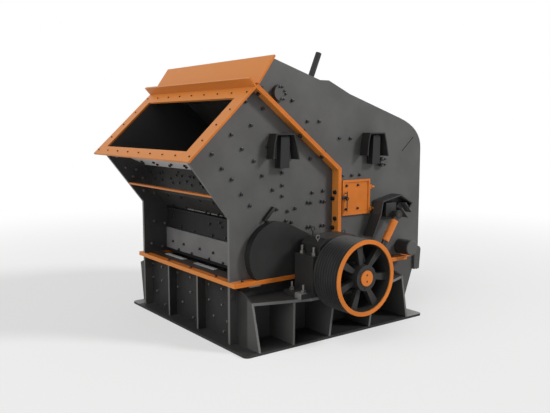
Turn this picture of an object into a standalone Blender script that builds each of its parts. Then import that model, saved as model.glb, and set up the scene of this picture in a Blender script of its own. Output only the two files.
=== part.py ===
"""Impact crusher: welded frame, spoked belt pulley, rotor, and a rear housing that tips back on its hinge.

Metres. X runs along the rotor shaft with the pulley at +X, the feed inlet faces -Y, and Z is up.
Pieces are drawn in machine coordinates: x from the middle of the body, y from the front edge of
the base plate, z from the ground. One empty then puts the middle of the footprint on the origin.
"""

import math

import bmesh
import bpy
from mathutils import Vector

# Clearances
SEAT_GAP = 0.0003          # between pieces that touch
RUNNING_GAP = 0.0006       # between a pin, rod or journal and its hole
FREE_GAP = 0.006           # between a piece that moves and one that stands beside it
SHAFT_GAP = 0.006          # round the shaft where it passes a wall

# Body
BODY_HALF_WIDTH = 0.9645
SIDE_THICKNESS = 0.0375
BODY_FRONT = 0.07
BODY_REAR = 2.80
FLANGE_Z = 0.634           # joint between the lower frame and the housings
FLANGE_THICKNESS = 0.022
FLANGE_REACH = 0.10        # how far the flanges stand out from the side plates
FLANGE_FRONT = 0.06
FLANGE_REAR = 2.70
FLANGE_STRIP_REAR = 2.50   # where the part outside the side plates ends
FLANGE_INNER_FRONT = 0.30
FLANGE_INNER_REAR = 2.40

# Base plate
BASE_RIGHT = BODY_HALF_WIDTH + 0.381       # edge on the pulley side
BASE_LEFT = BODY_HALF_WIDTH + 0.193        # edge on the other side
BASE_DEPTH = 2.468
BASE_THICKNESS = 0.025
BASE_CORNER = 0.05
DISCHARGE_HALF_WIDTH = BODY_HALF_WIDTH - 0.1045
DISCHARGE_FRONT = 0.30
DISCHARGE_REAR = 2.20

# Lower frame
LOWER_EAR_Z = 0.433
LOWER_NOTCH = (2.71, 0.464)
LOWER_REAR_KNEE = (2.585, 0.128)
LOWER_REAR_FOOT = 2.547
PANEL_RECESS = 0.10
PANEL_THICKNESS = 0.025
RIB_THICKNESS = 0.03
BAYS = 3
REAR_PANEL_Y = 2.40

# Front housing
CHUTE_KNEE_Z = 1.283       # where the front edge turns out to the feed inlet
CHUTE_EDGE_ANGLE = math.radians(52.15)
FRONT_WALL_Y = 0.39
FRONT_WALL_KNEE_Z = 1.20
FRONT_WALL_SHOULDER = (0.215, 1.40)
FRONT_WALL_TOP = (0.11, 1.72)
FRONT_WALL_THICKNESS = 0.03
FRONT_LEDGE = (0.03, 0.02)
COVER_PLATE_Z = (0.70, 0.95)
COVER_PLATE_THICKNESS = 0.022
TIE_BAR_Z = 1.51
TIE_BAR_SECTION = (0.06, 0.022)
FEED_FLOOR_POINT = (-0.104, 1.817)
FEED_FLOOR_SLOPE = math.radians(-24.3)
FEED_FLOOR_THICKNESS = 0.022
FEED_FLOOR_REAR = 0.48

# Feed frame, measured along its own slope from its lower edge
FRAME_FOOT = (-0.457, 1.866)
FRAME_ANGLE = math.radians(43.14)
FRAME_LENGTH = 1.028
FRAME_HALF_WIDTH = BODY_HALF_WIDTH + 0.1505
FRAME_THICKNESS = 0.020
INLET_HALF_WIDTH = BODY_HALF_WIDTH - 0.0395
INLET_START = 0.124
INLET_END = 0.857
LIP_HEIGHT = 0.10
LIP_THICKNESS = 0.02

# Split between the fixed and the tipping housing
SPLIT_Y = 1.418
SPLIT_KNEE_Z = 1.722
SPLIT_ANGLE = math.radians(-38.0)
SPLIT_RELIEF = 0.0015      # the low end of the tipping flange swings forward a little before it rises

# Rear housing
HOOD_START = (0.029, 0.023)          # foot of the hood, from the upper edge of the feed frame
HOOD_RISE = (0.195, 0.276)           # from the foot of the hood to its top
HOOD_HALF_WIDTH = FRAME_HALF_WIDTH - 0.015
HOOD_THICKNESS = 0.02
ROOF_START = 0.028                   # roof corner behind the top of the hood
ROOF_RISE_START = (1.21, 2.66)
ROOF_RISE_END = (1.335, 2.66)
ROOF_RISE_FOOT = (1.639, 2.526)
ROOF_REAR = (2.433, 2.273)
REAR_SHOULDER_Z = 1.916
REAR_SHOULDER_STEPS = 8
SHELL_THICKNESS = 0.03
SHELL_FOOT = (2.64, 0.76)  # front end of the sloping foot, and height where the rear wall bends into it
REAR_SLOT = ((2.48, 1.89), (2.67, 2.05))
REAR_SLOT_WIDTH = 0.009

# Hinge of the rear housing
HINGE_Y = 2.77
HINGE_Z = 0.68
HINGE_EAR_RADIUS = 0.05
HINGE_PIN_RADIUS = 0.020
LUG_THICKNESS = 0.022
LUG_FRONT = 2.712
LUG_FOOT_Z = 0.45

# Rotor
SHAFT_Y = 1.117
SHAFT_Z = 0.710
JOURNAL_RADIUS = 0.085
SHAFT_RADIUS = 0.110
PULLEY_SEAT_RADIUS = 0.070
ROTOR_RADIUS = 0.66
ROTOR_DISC_RADIUS = 0.56
ROTOR_HALF_WIDTH = BODY_HALF_WIDTH - 0.0745
ROTOR_ARMS = 4
ROTOR_FIRST_ARM = math.radians(20)
BLOW_BAR_THICKNESS = 0.09
POCKET_RADIUS = 0.30                 # floor of the pocket in front of each blow bar
POCKET_WIDTH = 0.10
SADDLE_START = math.radians(18)      # from each arm to where the round back behind it begins
SADDLE_END = math.radians(55.8)

# Bearings
BEARING_INNER = BODY_HALF_WIDTH + 0.156
BEARING_WIDTH = 0.29
BEARING_FOOT_HALF_LENGTH = 0.50
BEARING_FOOT_HEIGHT = 0.05
BEARING_BLOCK_HALF_LENGTH = 0.357
BEARING_SHOULDER_Z = 0.90
BEARING_CAP_HALF_LENGTH = 0.267
BEARING_CAP_Z = 1.07
BEARING_CAP_CHAMFER = 0.07

# Pulley
PULLEY_INNER = BEARING_INNER + BEARING_WIDTH + 0.03
PULLEY_WIDTH = 0.355
PULLEY_RADIUS = 0.379
PULLEY_RIM_INNER = 0.337
PULLEY_GROOVES = 9
GROOVE_DEPTH = 0.018
GROOVE_SHARES = (0.25, 0.55, 0.80)   # ends of its two flanks and its floor, in groove pitches
PULLEY_HUB_RADIUS = 0.128
PULLEY_SPOKES = 7
SPOKE_FIRST = math.radians(97)
SPOKE_THICKNESS = 0.06
SPOKE_SETBACK = 0.06                 # of the spokes from the outer face
SPOKE_HUB_HALF_WIDTH = 0.022
SPOKE_RIM_HALF_WIDTH = 0.042
SPOKE_BURIED = 0.015                 # how far a spoke runs into the rim and the hub
RIM_RING_THICKNESS = 0.012
HUB_CAP_RADIUS = 0.078
HUB_CAP_THICKNESS = 0.010

# Pedestals, the outline of the seat as (reach from the side plate, y)
SEAT_Z = 0.49
SEAT_THICKNESS = 0.03
SEAT_OUTLINE = ((0.258, 0.15), (0.451, 0.745), (0.451, 1.79), (0.291, 2.215))
PEDESTAL_RIBS = (0.15, 0.56, 1.03, 1.60, 2.19)
PEDESTAL_RIB_THICKNESS = 0.025
GUSSET_TOP_Z = 0.585

# Casing beside the body, round at its front end and round the shaft
CASING_CENTRE = (0.587, 0.884)
CASING_RADIUS = 0.341
CASING_SHAFT_RADIUS = 0.27
CASING_REACH = 0.09

# Hooded brackets, drawn in (y, z) from the top front corner
HOODED_FRONT = (0.514, 2.108)
HOODED_REAR = (1.800, 2.108)
HOODED_SKIRT = ((0, -0.25), (0.015, -0.10), (0.04, 0), (0.27, 0), (0.30, -0.10), (0.335, -0.26))
HOODED_BACK = ((0.04, 0), (0.27, 0), (0.29, -0.13), (0.232, -0.14), (0.228, -0.348),
               (0.112, -0.348), (0.112, -0.256), (0.01, -0.245), (0.015, -0.10))
HOODED_POST = ((0.112, -0.348), (0.228, -0.348), (0.232, -0.03), (0.125, -0.03))
HOODED_DEPTH = 0.12
HOODED_POST_DEPTH = 0.085
HOODED_BACK_DEPTH = 0.02
HOODED_SHEET = 0.014

# Impact aprons and what hangs them
APRON_SHAFT_FRONT = (0.663, 2.510)
APRON_SHAFT_REAR = (2.130, 1.775)
APRON_LEAF_FRONT = ((1.05, 2.18), (1.50, 1.78), (1.56, 1.47))
APRON_LEAF_REAR = ((2.16, 1.40), (1.98, 0.98))
APRON_BOSS_RADII = (0.085, 0.055)
APRON_SHAFT_SHARE = 0.8              # shaft radius as a share of the boss outside it
APRON_BOSS_REACH = 0.055
APRON_HALF_WIDTH = BODY_HALF_WIDTH - 0.0645
APRON_THICKNESS = 0.09
PIVOT_DRUM = (2.475, 0.762)
PIVOT_DRUM_RADIUS = 0.09
PIVOT_DRUM_REACH = 0.20
PIVOT_DRUM_CHAMFER = 0.008
ROOF_ROD_X = BODY_HALF_WIDTH - 0.0925
ROOF_ROD_FOOT = (1.155, 2.677)
ROOF_ROD_TOP = (1.268, 2.945)
ROOF_ROD_RADIUS = 0.032
ROOF_ROD_BURIED = 0.30

# Lift cylinders
CYLINDER_X = BODY_HALF_WIDTH + 0.1555
LIFT_PIVOT = (2.26, 1.17)
FOOT_PIVOT = (1.86, 0.58)
BARREL_RADIUS = 0.042
BARREL_LENGTH = 0.345
BARREL_BORE_START = 0.07
GUIDE_RADIUS = 0.032                 # tube round the rod below the barrel
GUIDE_END = 0.585
ROD_RADIUS = 0.025
ROD_REACH = 0.63
EYE_RADIUS = 0.052
FOOT_EYE_RADIUS = 0.042
EYE_WIDTH = 0.05
LIFT_PIN_RADIUS = 0.022
LIFT_PLATE = ((1.98, 0.93), (2.12, 1.11), (2.18, 1.10), (2.46, 1.10))   # lower edge of the plate
LIFT_SKIN = ((1.87, 0.95), (1.99, 1.19), (2.02, 1.34), (2.32, 1.40), (2.52, 1.29), (2.47, 1.235))
LIFT_PLATE_THICKNESS = 0.025
LIFT_SKIN_THICKNESS = 0.014
LIFT_SKIN_REACH = 0.155
CHEEK_THICKNESS = 0.02
CHEEK_HALF_WIDTH = 0.06

# Inspection doors
DOOR_Y = (1.525, 1.943)
DOOR_Z = (1.20, 1.59)
DOOR_THICKNESS = 0.028
DOOR_OVERLAP = 0.04
DOOR_RIM = 0.026
DOOR_RECESS = 0.010
DOOR_PIN_RADIUS = 0.007
DOOR_PIN_STANDOFF = 0.004            # between the side plate and the knuckles
KNUCKLE_RADIUS = 0.014
KNUCKLE_HEIGHTS = (1.255, 1.500)
KNUCKLE_LENGTH = 0.05

ROUND = 48                 # sides of a journal, bore or large round piece
SMALL_ROUND = 24           # sides of a small round piece

CHARCOAL = ((0.075, 0.078, 0.080), 0.45, 0.3)
BLACK = ((0.018, 0.018, 0.019), 0.5, 0.3)
ORANGE = ((0.75, 0.20, 0.035), 0.45, 0.1)
GREY = ((0.35, 0.37, 0.38), 0.5, 0.3)
STEEL = ((0.35, 0.34, 0.33), 0.4, 0.9)

# Ends of the whole machine, which place its middle
PULLEY_OUTER = PULLEY_INNER + PULLEY_WIDTH
MACHINE_RIGHT = PULLEY_OUTER + HUB_CAP_THICKNESS
MACHINE_LEFT = -(BODY_HALF_WIDTH + SEAT_OUTLINE[1][0])
MACHINE_FRONT = FRAME_FOOT[0]
MACHINE_REAR = HINGE_Y + HINGE_EAR_RADIUS

INNER_HALF_WIDTH = BODY_HALF_WIDTH - SIDE_THICKNESS - SEAT_GAP
FLANGE_HALF_WIDTH = BODY_HALF_WIDTH + FLANGE_REACH
LOWER_TOP = FLANGE_Z - FLANGE_THICKNESS - SEAT_GAP
HOUSING_FOOT = FLANGE_Z + FLANGE_THICKNESS + 2 * SEAT_GAP


def direction(angle):
    """Unit step along an angle in a side view, from +Y towards +Z."""
    return Vector((math.cos(angle), math.sin(angle)))


def across(step):
    """A step turned a quarter turn, from +Y towards +Z."""
    return Vector((-step.y, step.x))


def meet(point_a, step_a, point_b, step_b):
    """Where two lines of a side view cross."""
    point_a, point_b = Vector(point_a), Vector(point_b)
    gap = point_b - point_a
    cross = step_a.x * step_b.y - step_a.y * step_b.x
    return point_a + step_a * ((gap.x * step_b.y - gap.y * step_b.x) / cross)


def between(start, end):
    """Unit step from one point of a side view to another."""
    return (Vector(end) - Vector(start)).normalized()


def beside(path, distance):
    """A path moved sideways, to its left for a positive distance, with mitred corners."""
    steps = [between(a, b) for a, b in zip(path, path[1:])]
    moved = [Vector(path[0]) + across(steps[0]) * distance]
    for corner, before, after in zip(path[1:], steps, steps[1:]):
        side = (across(before) + across(after)).normalized()
        moved.append(Vector(corner) + side * (distance / side.dot(across(before))))
    moved.append(Vector(path[-1]) + across(steps[-1]) * distance)
    return moved


def arc(centre, radius, start, end, steps):
    """Points of a round stretch, ends included."""
    angles = [start + (end - start) * i / steps for i in range(steps + 1)]
    return [Vector(centre) + direction(a) * radius for a in angles]


def new_object(name, bm):
    """An object from a mesh in the making, faces outwards."""
    bmesh.ops.recalc_face_normals(bm, faces=bm.faces)
    mesh = bpy.data.meshes.new(name)
    bm.to_mesh(mesh)
    bm.free()
    obj = bpy.data.objects.new(name, mesh)
    bpy.context.collection.objects.link(obj)
    return obj


PLACE = {
    "X": lambda a, b, depth: (depth, a, b),
    "Y": lambda a, b, depth: (a, depth, b),
    "Z": lambda a, b, depth: (a, b, depth),
}


def prism(name, outline, start, end, axis="X"):
    """An outline drawn across an axis and extruded from start to end along it."""
    place = PLACE[axis]
    bm = bmesh.new()
    face = bm.faces.new([bm.verts.new(place(a, b, start)) for a, b in outline])
    grown = bmesh.ops.extrude_face_region(bm, geom=[face])
    verts = [v for v in grown["geom"] if isinstance(v, bmesh.types.BMVert)]
    bmesh.ops.translate(bm, verts=verts, vec=Vector(place(0, 0, end - start)))
    return new_object(name, bm)


def block(name, low, high):
    """A straight block between two corners."""
    outline = [(low[1], low[2]), (high[1], low[2]), (high[1], high[2]), (low[1], high[2])]
    return prism(name, outline, low[0], high[0])


def turned(name, profile, centre, steps=ROUND):
    """A profile of (x, radius) points turned round a shaft line that runs along X."""
    bm = bmesh.new()
    verts = [bm.verts.new((x, 0, radius)) for x, radius in profile]
    pairs = list(zip(verts, verts[1:]))
    if profile[0][1] > 0:
        pairs.append((verts[-1], verts[0]))
    edges = [bm.edges.new(pair) for pair in pairs]
    bmesh.ops.spin(bm, geom=verts + edges, cent=(0, 0, 0), axis=(1, 0, 0), angle=math.tau,
                   steps=steps, use_merge=True)
    bmesh.ops.remove_doubles(bm, verts=bm.verts, dist=1e-5)
    bmesh.ops.translate(bm, verts=bm.verts, vec=(0, centre[0], centre[1]))
    return new_object(name, bm)


def rod(name, start, end, radius, centre, steps=ROUND):
    """A plain round bar along X."""
    return turned(name, [(start, 0), (start, radius), (end, radius), (end, 0)], centre, steps)


def upright(name, x, y, low, high, radius, steps=SMALL_ROUND):
    """A plain round bar along Z."""
    outline = arc((x, y), radius, 0, math.tau * (1 - 1 / steps), steps - 1)
    return prism(name, outline, low, high, "Z")


def combine(obj, others, operation):
    """Join, cut or intersect an object with others, which are used up."""
    for other in others:
        modifier = obj.modifiers.new(operation, "BOOLEAN")
        modifier.operation = operation
        modifier.solver = "EXACT"
        modifier.object = other
        depsgraph = bpy.context.evaluated_depsgraph_get()
        mesh = bpy.data.meshes.new_from_object(obj.evaluated_get(depsgraph))
        obj.modifiers.clear()
        obj.data = mesh
        bpy.data.objects.remove(other)
    return obj


def fuse(obj, *others):
    return combine(obj, others, "UNION")


def cut(obj, *others):
    return combine(obj, others, "DIFFERENCE")


def mirrored(obj, name):
    """The same piece on the other side of the machine."""
    bm = bmesh.new()
    bm.from_mesh(obj.data)
    bmesh.ops.scale(bm, vec=(-1, 1, 1), verts=bm.verts)
    return new_object(name, bm)


def finish(obj, pivot, look, smooth=False):
    """Hang a piece on its pivot, and give it its own material."""
    obj.parent = pivot
    obj.location = obj.location - pivot_place(pivot)
    colour, roughness, metallic = look
    material = bpy.data.materials.new(obj.name)
    material.use_nodes = True
    shader = material.node_tree.nodes["Principled BSDF"]
    shader.inputs["Base Color"].default_value = (*colour, 1)
    shader.inputs["Roughness"].default_value = roughness
    shader.inputs["Metallic"].default_value = metallic
    obj.data.materials.clear()
    obj.data.materials.append(material)
    if smooth:
        obj.data.shade_smooth()
        obj.data.set_sharp_from_angle(angle=math.radians(30))
    return obj


def pivot_place(pivot):
    """Where a pivot stands in machine coordinates."""
    place = Vector((0, 0, 0))
    while pivot.parent:
        place += pivot.location
        pivot = pivot.parent
    return place


def empty(name, parent, place):
    """An empty on a joint's axis, at a place in machine coordinates."""
    pivot = bpy.data.objects.new(name, None)
    bpy.context.collection.objects.link(pivot)
    pivot.parent = parent
    pivot.location = Vector(place) - (pivot_place(parent) if parent else Vector((0, 0, 0)))
    return pivot


def both_sides(obj, pivots, look, smooth=False):
    """A piece on the pulley side and its twin on the other side."""
    twin = mirrored(obj, obj.name.replace("right", "left"))
    finish(obj, pivots[0], look, smooth)
    finish(twin, pivots[1], look, smooth)


# Lines of the side view
FRAME_STEP = direction(FRAME_ANGLE)
FRAME_BACK = Vector(FRAME_FOOT) - across(FRAME_STEP) * (FRAME_THICKNESS + SEAT_GAP)
CHUTE_STEP = direction(math.pi - CHUTE_EDGE_ANGLE)
SPLIT_STEP = direction(SPLIT_ANGLE)
SPLIT_KNEE = Vector((SPLIT_Y, SPLIT_KNEE_Z))
FLOOR_STEP = direction(FEED_FLOOR_SLOPE)
HOOD_FOOT = Vector(FRAME_FOOT) + FRAME_STEP * FRAME_LENGTH + Vector(HOOD_START)
HOOD_TOP = HOOD_FOOT + Vector(HOOD_RISE)
HOOD_STEP = between(HOOD_FOOT, HOOD_TOP)
HOOD_BACK = HOOD_FOOT - across(HOOD_STEP) * (HOOD_THICKNESS + SEAT_GAP)
ROOF_FRONT = HOOD_TOP + Vector((ROOF_START, 0))
UNDER_FRAME = (FRAME_BACK, FRAME_STEP)
BEHIND_HOOD = (HOOD_BACK, HOOD_STEP)
LEVEL = Vector((1, 0))
UPRIGHT = Vector((0, 1))


def split_path(distance, foot, stop=UNDER_FRAME):
    """The split from the line it stops at down to a height, moved back by a distance."""
    upper = SPLIT_KNEE + across(SPLIT_STEP) * distance
    top = meet(upper, SPLIT_STEP, *stop)
    knee = meet(upper, SPLIT_STEP, (SPLIT_Y + distance, 0), UPRIGHT)
    return [top, knee, Vector((SPLIT_Y + distance, foot))]


def shaft_passage(name):
    """Round space round the shaft, right through the machine."""
    reach = FLANGE_HALF_WIDTH + SEAT_THICKNESS
    return rod(name, -reach, reach, SHAFT_RADIUS + SHAFT_GAP, (SHAFT_Y, SHAFT_Z))


def base_plate():
    corner = BASE_CORNER
    outline = (
        arc((BASE_RIGHT - corner, corner), corner, -math.pi / 2, 0, 4)
        + arc((BASE_RIGHT - corner, BASE_DEPTH - corner), corner, 0, math.pi / 2, 4)
        + arc((corner - BASE_LEFT, BASE_DEPTH - corner), corner, math.pi / 2, math.pi, 4)
        + arc((corner - BASE_LEFT, corner), corner, math.pi, 1.5 * math.pi, 4)
    )
    plate = prism("base_plate", outline, 0, BASE_THICKNESS, "Z")
    opening = block(
        "opening", (-DISCHARGE_HALF_WIDTH, DISCHARGE_FRONT, -BASE_THICKNESS),
        (DISCHARGE_HALF_WIDTH, DISCHARGE_REAR, 2 * BASE_THICKNESS))
    return cut(plate, opening)


def lower_side():
    """Side plate of the lower frame, with the lug that carries the hinge pin of the rear housing."""
    foot = BASE_THICKNESS + SEAT_GAP
    outline = [
        (BODY_FRONT, foot), (LOWER_REAR_FOOT, foot), LOWER_REAR_KNEE, LOWER_NOTCH,
        (BODY_REAR, LOWER_EAR_Z), (BODY_REAR, LOWER_TOP), (BODY_FRONT, LOWER_TOP),
    ]
    inner = BODY_HALF_WIDTH - SIDE_THICKNESS
    plate = prism("lower_side_right", outline, inner, BODY_HALF_WIDTH)
    lug_inner = BODY_HALF_WIDTH + FREE_GAP
    lug_outer = lug_inner + LUG_THICKNESS
    head = arc((HINGE_Y, HINGE_Z), HINGE_EAR_RADIUS, 0, math.pi, 12)
    head = [p for p in head if p.x > LUG_FRONT]
    shoulder = meet((LUG_FRONT, 0), UPRIGHT, head[-1], LEVEL)
    lug = prism("lug", [(LUG_FRONT, LUG_FOOT_Z), (BODY_REAR, LUG_FOOT_Z)] + head + [shoulder],
                lug_inner, lug_outer)
    pad = block("pad", (BODY_HALF_WIDTH - FREE_GAP, LUG_FRONT, LUG_FOOT_Z),
                (lug_inner + FREE_GAP, BODY_REAR - FREE_GAP, LOWER_TOP - FREE_GAP))
    pin = rod("pin", inner + FREE_GAP / 2, lug_outer - FREE_GAP, HINGE_PIN_RADIUS, (HINGE_Y, HINGE_Z),
              SMALL_ROUND)
    fuse(plate, pad, lug, pin)
    return cut(plate, shaft_passage("passage"))


def comb(panel_y, rib_tip):
    """Plan of a cross wall with ribs that stand out to a line, from side plate to side plate."""
    near, far = panel_y, panel_y + math.copysign(PANEL_THICKNESS, panel_y - rib_tip)
    outline = [(-INNER_HALF_WIDTH, far), (-INNER_HALF_WIDTH, near)]
    for i in range(1, BAYS):
        x = -BODY_HALF_WIDTH + 2 * BODY_HALF_WIDTH * i / BAYS
        half = RIB_THICKNESS / 2
        outline += [(x - half, near), (x - half, rib_tip), (x + half, rib_tip), (x + half, near)]
    return outline + [(INNER_HALF_WIDTH, near), (INNER_HALF_WIDTH, far)]


def lower_wall(name, panel_y, rib_tip):
    return prism(name, comb(panel_y, rib_tip), BASE_THICKNESS + SEAT_GAP, LOWER_TOP, "Z")


def flange(name, plan, low):
    """Flat flange from half its plan, cleared for the shaft."""
    whole = plan + [(-x, y) for x, y in reversed(plan)]
    return cut(prism(name, whole, low, low + FLANGE_THICKNESS, "Z"), shaft_passage("passage"))


def front_flange(name, low):
    """Flange round the front of the body."""
    out, inner = FLANGE_HALF_WIDTH, INNER_HALF_WIDTH + SEAT_GAP
    plan = [(out, FLANGE_FRONT), (out, SHAFT_Y), (inner, SHAFT_Y), (inner, FLANGE_INNER_FRONT)]
    return flange(name, plan, low)


def rear_flange(name, front, low):
    """Flange round the rear of the body, its outer strips shorter than its cross part."""
    out, inner = FLANGE_HALF_WIDTH, INNER_HALF_WIDTH + SEAT_GAP
    plan = [(inner, FLANGE_INNER_REAR), (inner, front), (out, front), (out, FLANGE_STRIP_REAR),
            (BODY_HALF_WIDTH, FLANGE_STRIP_REAR), (BODY_HALF_WIDTH, FLANGE_REAR)]
    return flange(name, plan, low)


def front_side():
    chute_foot = Vector((BODY_FRONT, CHUTE_KNEE_Z))
    chute_top = meet(chute_foot, CHUTE_STEP, FRAME_BACK, FRAME_STEP)
    split = split_path(-SEAT_GAP, HOUSING_FOOT)
    outline = [(BODY_FRONT, HOUSING_FOOT), chute_foot, chute_top] + split
    plate = prism("front_side_right", outline, BODY_HALF_WIDTH - SIDE_THICKNESS, BODY_HALF_WIDTH)
    return cut(plate, shaft_passage("passage"))


def split_strip(name, offset, thickness, foot, stop):
    """Flange strip beside the split, welded to the outside of a side plate."""
    near, far = split_path(offset, foot, stop), split_path(offset + thickness, foot, stop)
    return prism(name, near + far[::-1], BODY_HALF_WIDTH + SEAT_GAP, FLANGE_HALF_WIDTH)


def front_split_flange():
    """Strip on the fixed side of the split, with the short foot that runs forward to the shaft."""
    low = FLANGE_Z + SEAT_GAP
    strip = split_strip("front_split_flange_right", -SEAT_GAP, -FLANGE_THICKNESS,
                        low + FLANGE_THICKNESS / 2, UNDER_FRAME)
    foot = block("foot", (INNER_HALF_WIDTH + SEAT_GAP, SHAFT_Y, low),
                 (FLANGE_HALF_WIDTH, SPLIT_Y - SEAT_GAP, low + FLANGE_THICKNESS))
    return cut(fuse(strip, foot), shaft_passage("passage"))


def floor_line(distance):
    return Vector(FEED_FLOOR_POINT) + across(FLOOR_STEP) * distance


def upper_front_wall():
    """Wall below the feed floor, with a small ledge where it turns."""
    ledge_reach, ledge_height = FRONT_LEDGE
    foot = Vector((FRONT_WALL_Y, HOUSING_FOOT))
    knee = Vector((FRONT_WALL_Y, FRONT_WALL_KNEE_Z))
    shoulder = Vector(FRONT_WALL_SHOULDER)
    under = floor_line(-SEAT_GAP)
    top_step = between(shoulder, FRONT_WALL_TOP)
    outer = [foot, knee, shoulder, shoulder + top_step]
    inner = beside(outer, -FRONT_WALL_THICKNESS)
    outer[-1] = meet(shoulder, top_step, under, FLOOR_STEP)
    inner[-1] = meet(inner[2], top_step, under, FLOOR_STEP)
    ledge = [knee - Vector((0, ledge_height)), knee + Vector((-ledge_reach, -ledge_height)),
             knee - Vector((ledge_reach, 0))]
    outline = [outer[0]] + ledge + outer[1:] + inner[::-1]
    return prism("upper_front_wall", outline, -INNER_HALF_WIDTH, INNER_HALF_WIDTH)


def feed_floor():
    """Sloping plate that takes the feed from the inlet to the rotor."""
    low, high = floor_line(0), floor_line(FEED_FLOOR_THICKNESS)
    back = Vector((FEED_FLOOR_REAR, 0))
    outline = [
        meet(low, FLOOR_STEP, FRAME_BACK, FRAME_STEP), meet(low, FLOOR_STEP, back, UPRIGHT),
        meet(high, FLOOR_STEP, back, UPRIGHT), meet(high, FLOOR_STEP, FRAME_BACK, FRAME_STEP),
    ]
    return prism("feed_floor", outline, -INNER_HALF_WIDTH, INNER_HALF_WIDTH)


def cover_plate():
    low, high = COVER_PLATE_Z
    rear = FRONT_WALL_Y - SEAT_GAP
    return block("front_cover_plate", (-INNER_HALF_WIDTH, rear - COVER_PLATE_THICKNESS, low),
                 (INNER_HALF_WIDTH, rear, high))


def tie_bar():
    """Flat bar between the side plates, its front edge flush with their sloping edges."""
    depth, height = TIE_BAR_SECTION
    foot = (BODY_FRONT, CHUTE_KNEE_Z)
    top = meet(foot, CHUTE_STEP, (0, TIE_BAR_Z + height / 2), LEVEL)
    low = meet(foot, CHUTE_STEP, (0, TIE_BAR_Z - height / 2), LEVEL)
    outline = [low, low + LEVEL * depth, top + LEVEL * depth, top]
    return prism("chute_tie_bar", outline, -INNER_HALF_WIDTH, INNER_HALF_WIDTH)


def feed_frame():
    """Bolted frame round the inlet with the lip along its top, drawn flat and tilted to its slope."""
    frame = prism(
        "feed_frame",
        [(-FRAME_HALF_WIDTH, 0), (FRAME_HALF_WIDTH, 0), (FRAME_HALF_WIDTH, FRAME_LENGTH),
         (-FRAME_HALF_WIDTH, FRAME_LENGTH)],
        -FRAME_THICKNESS, 0, "Z")
    opening = block("opening", (-INLET_HALF_WIDTH, INLET_START, -2 * FRAME_THICKNESS),
                    (INLET_HALF_WIDTH, INLET_END, FRAME_THICKNESS))
    lip = block("lip", (-FRAME_HALF_WIDTH, FRAME_LENGTH - LIP_THICKNESS, -FRAME_THICKNESS / 2),
                (FRAME_HALF_WIDTH, FRAME_LENGTH, LIP_HEIGHT))
    cut(frame, opening)
    fuse(frame, lip)
    frame.rotation_euler.x = FRAME_ANGLE
    frame.location = (0, *FRAME_FOOT)
    return frame


def seat_edge(y):
    """Outer edge of the seat of a pedestal at a place along the machine."""
    for (reach_a, y_a), (reach_b, y_b) in zip(SEAT_OUTLINE, SEAT_OUTLINE[1:]):
        if y <= y_b:
            break
    return BODY_HALF_WIDTH + reach_a + (reach_b - reach_a) * (y - y_a) / (y_b - y_a)


def pedestal(name, foot_edge):
    """Seat for a bearing on ribs, with the two cheeks that hold the foot of a lift cylinder."""
    wall = BODY_HALF_WIDTH + SEAT_GAP
    edge = [(BODY_HALF_WIDTH + reach, y) for reach, y in SEAT_OUTLINE]
    seat = prism(name, [(wall, edge[0][1])] + edge + [(wall, edge[-1][1])],
                 SEAT_Z - SEAT_THICKNESS, SEAT_Z, "Z")
    foot = BASE_THICKNESS + SEAT_GAP
    for i, y in enumerate(PEDESTAL_RIBS):
        end_rib = i in (0, len(PEDESTAL_RIBS) - 1)
        wall_top = GUSSET_TOP_Z if end_rib else SEAT_Z - SEAT_THICKNESS / 2
        edge_top = SEAT_Z if end_rib else wall_top
        outline = [(wall, foot), (foot_edge, foot), (seat_edge(y), edge_top), (wall, wall_top)]
        fuse(seat, prism("rib", outline, y, y + PEDESTAL_RIB_THICKNESS, "Y"))
    half_slot = EYE_WIDTH / 2 + FREE_GAP
    y, z = FOOT_PIVOT
    head = arc(FOOT_PIVOT, CHEEK_HALF_WIDTH, 0, math.pi, 10)
    cheek = [(y - CHEEK_HALF_WIDTH, SEAT_Z - SEAT_THICKNESS / 2),
             (y + CHEEK_HALF_WIDTH, SEAT_Z - SEAT_THICKNESS / 2)] + head
    for start in (CYLINDER_X - half_slot - CHEEK_THICKNESS, CYLINDER_X + half_slot):
        fuse(seat, prism("cheek", cheek, start, start + CHEEK_THICKNESS))
    return seat


def bearing():
    """Pillow block: foot, block with square shoulders and cap, bored for the journal."""
    foot = SEAT_Z + SEAT_GAP
    chamfer = BEARING_CAP_CHAMFER
    half = [(BEARING_FOOT_HALF_LENGTH, foot), (BEARING_FOOT_HALF_LENGTH, foot + BEARING_FOOT_HEIGHT),
            (BEARING_BLOCK_HALF_LENGTH, foot + BEARING_FOOT_HEIGHT),
            (BEARING_BLOCK_HALF_LENGTH, BEARING_SHOULDER_Z),
            (BEARING_CAP_HALF_LENGTH, BEARING_SHOULDER_Z), (BEARING_CAP_HALF_LENGTH, BEARING_CAP_Z - chamfer),
            (BEARING_CAP_HALF_LENGTH - chamfer, BEARING_CAP_Z)]
    outline = [(SHAFT_Y + a, z) for a, z in half] + [(SHAFT_Y - a, z) for a, z in reversed(half)]
    end = BEARING_INNER + BEARING_WIDTH
    body = prism("bearing_right", outline, BEARING_INNER, end)
    bore = rod("bore", BEARING_INNER - BEARING_WIDTH, end + BEARING_WIDTH,
               JOURNAL_RADIUS + RUNNING_GAP, (SHAFT_Y, SHAFT_Z))
    return cut(body, bore)


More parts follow.
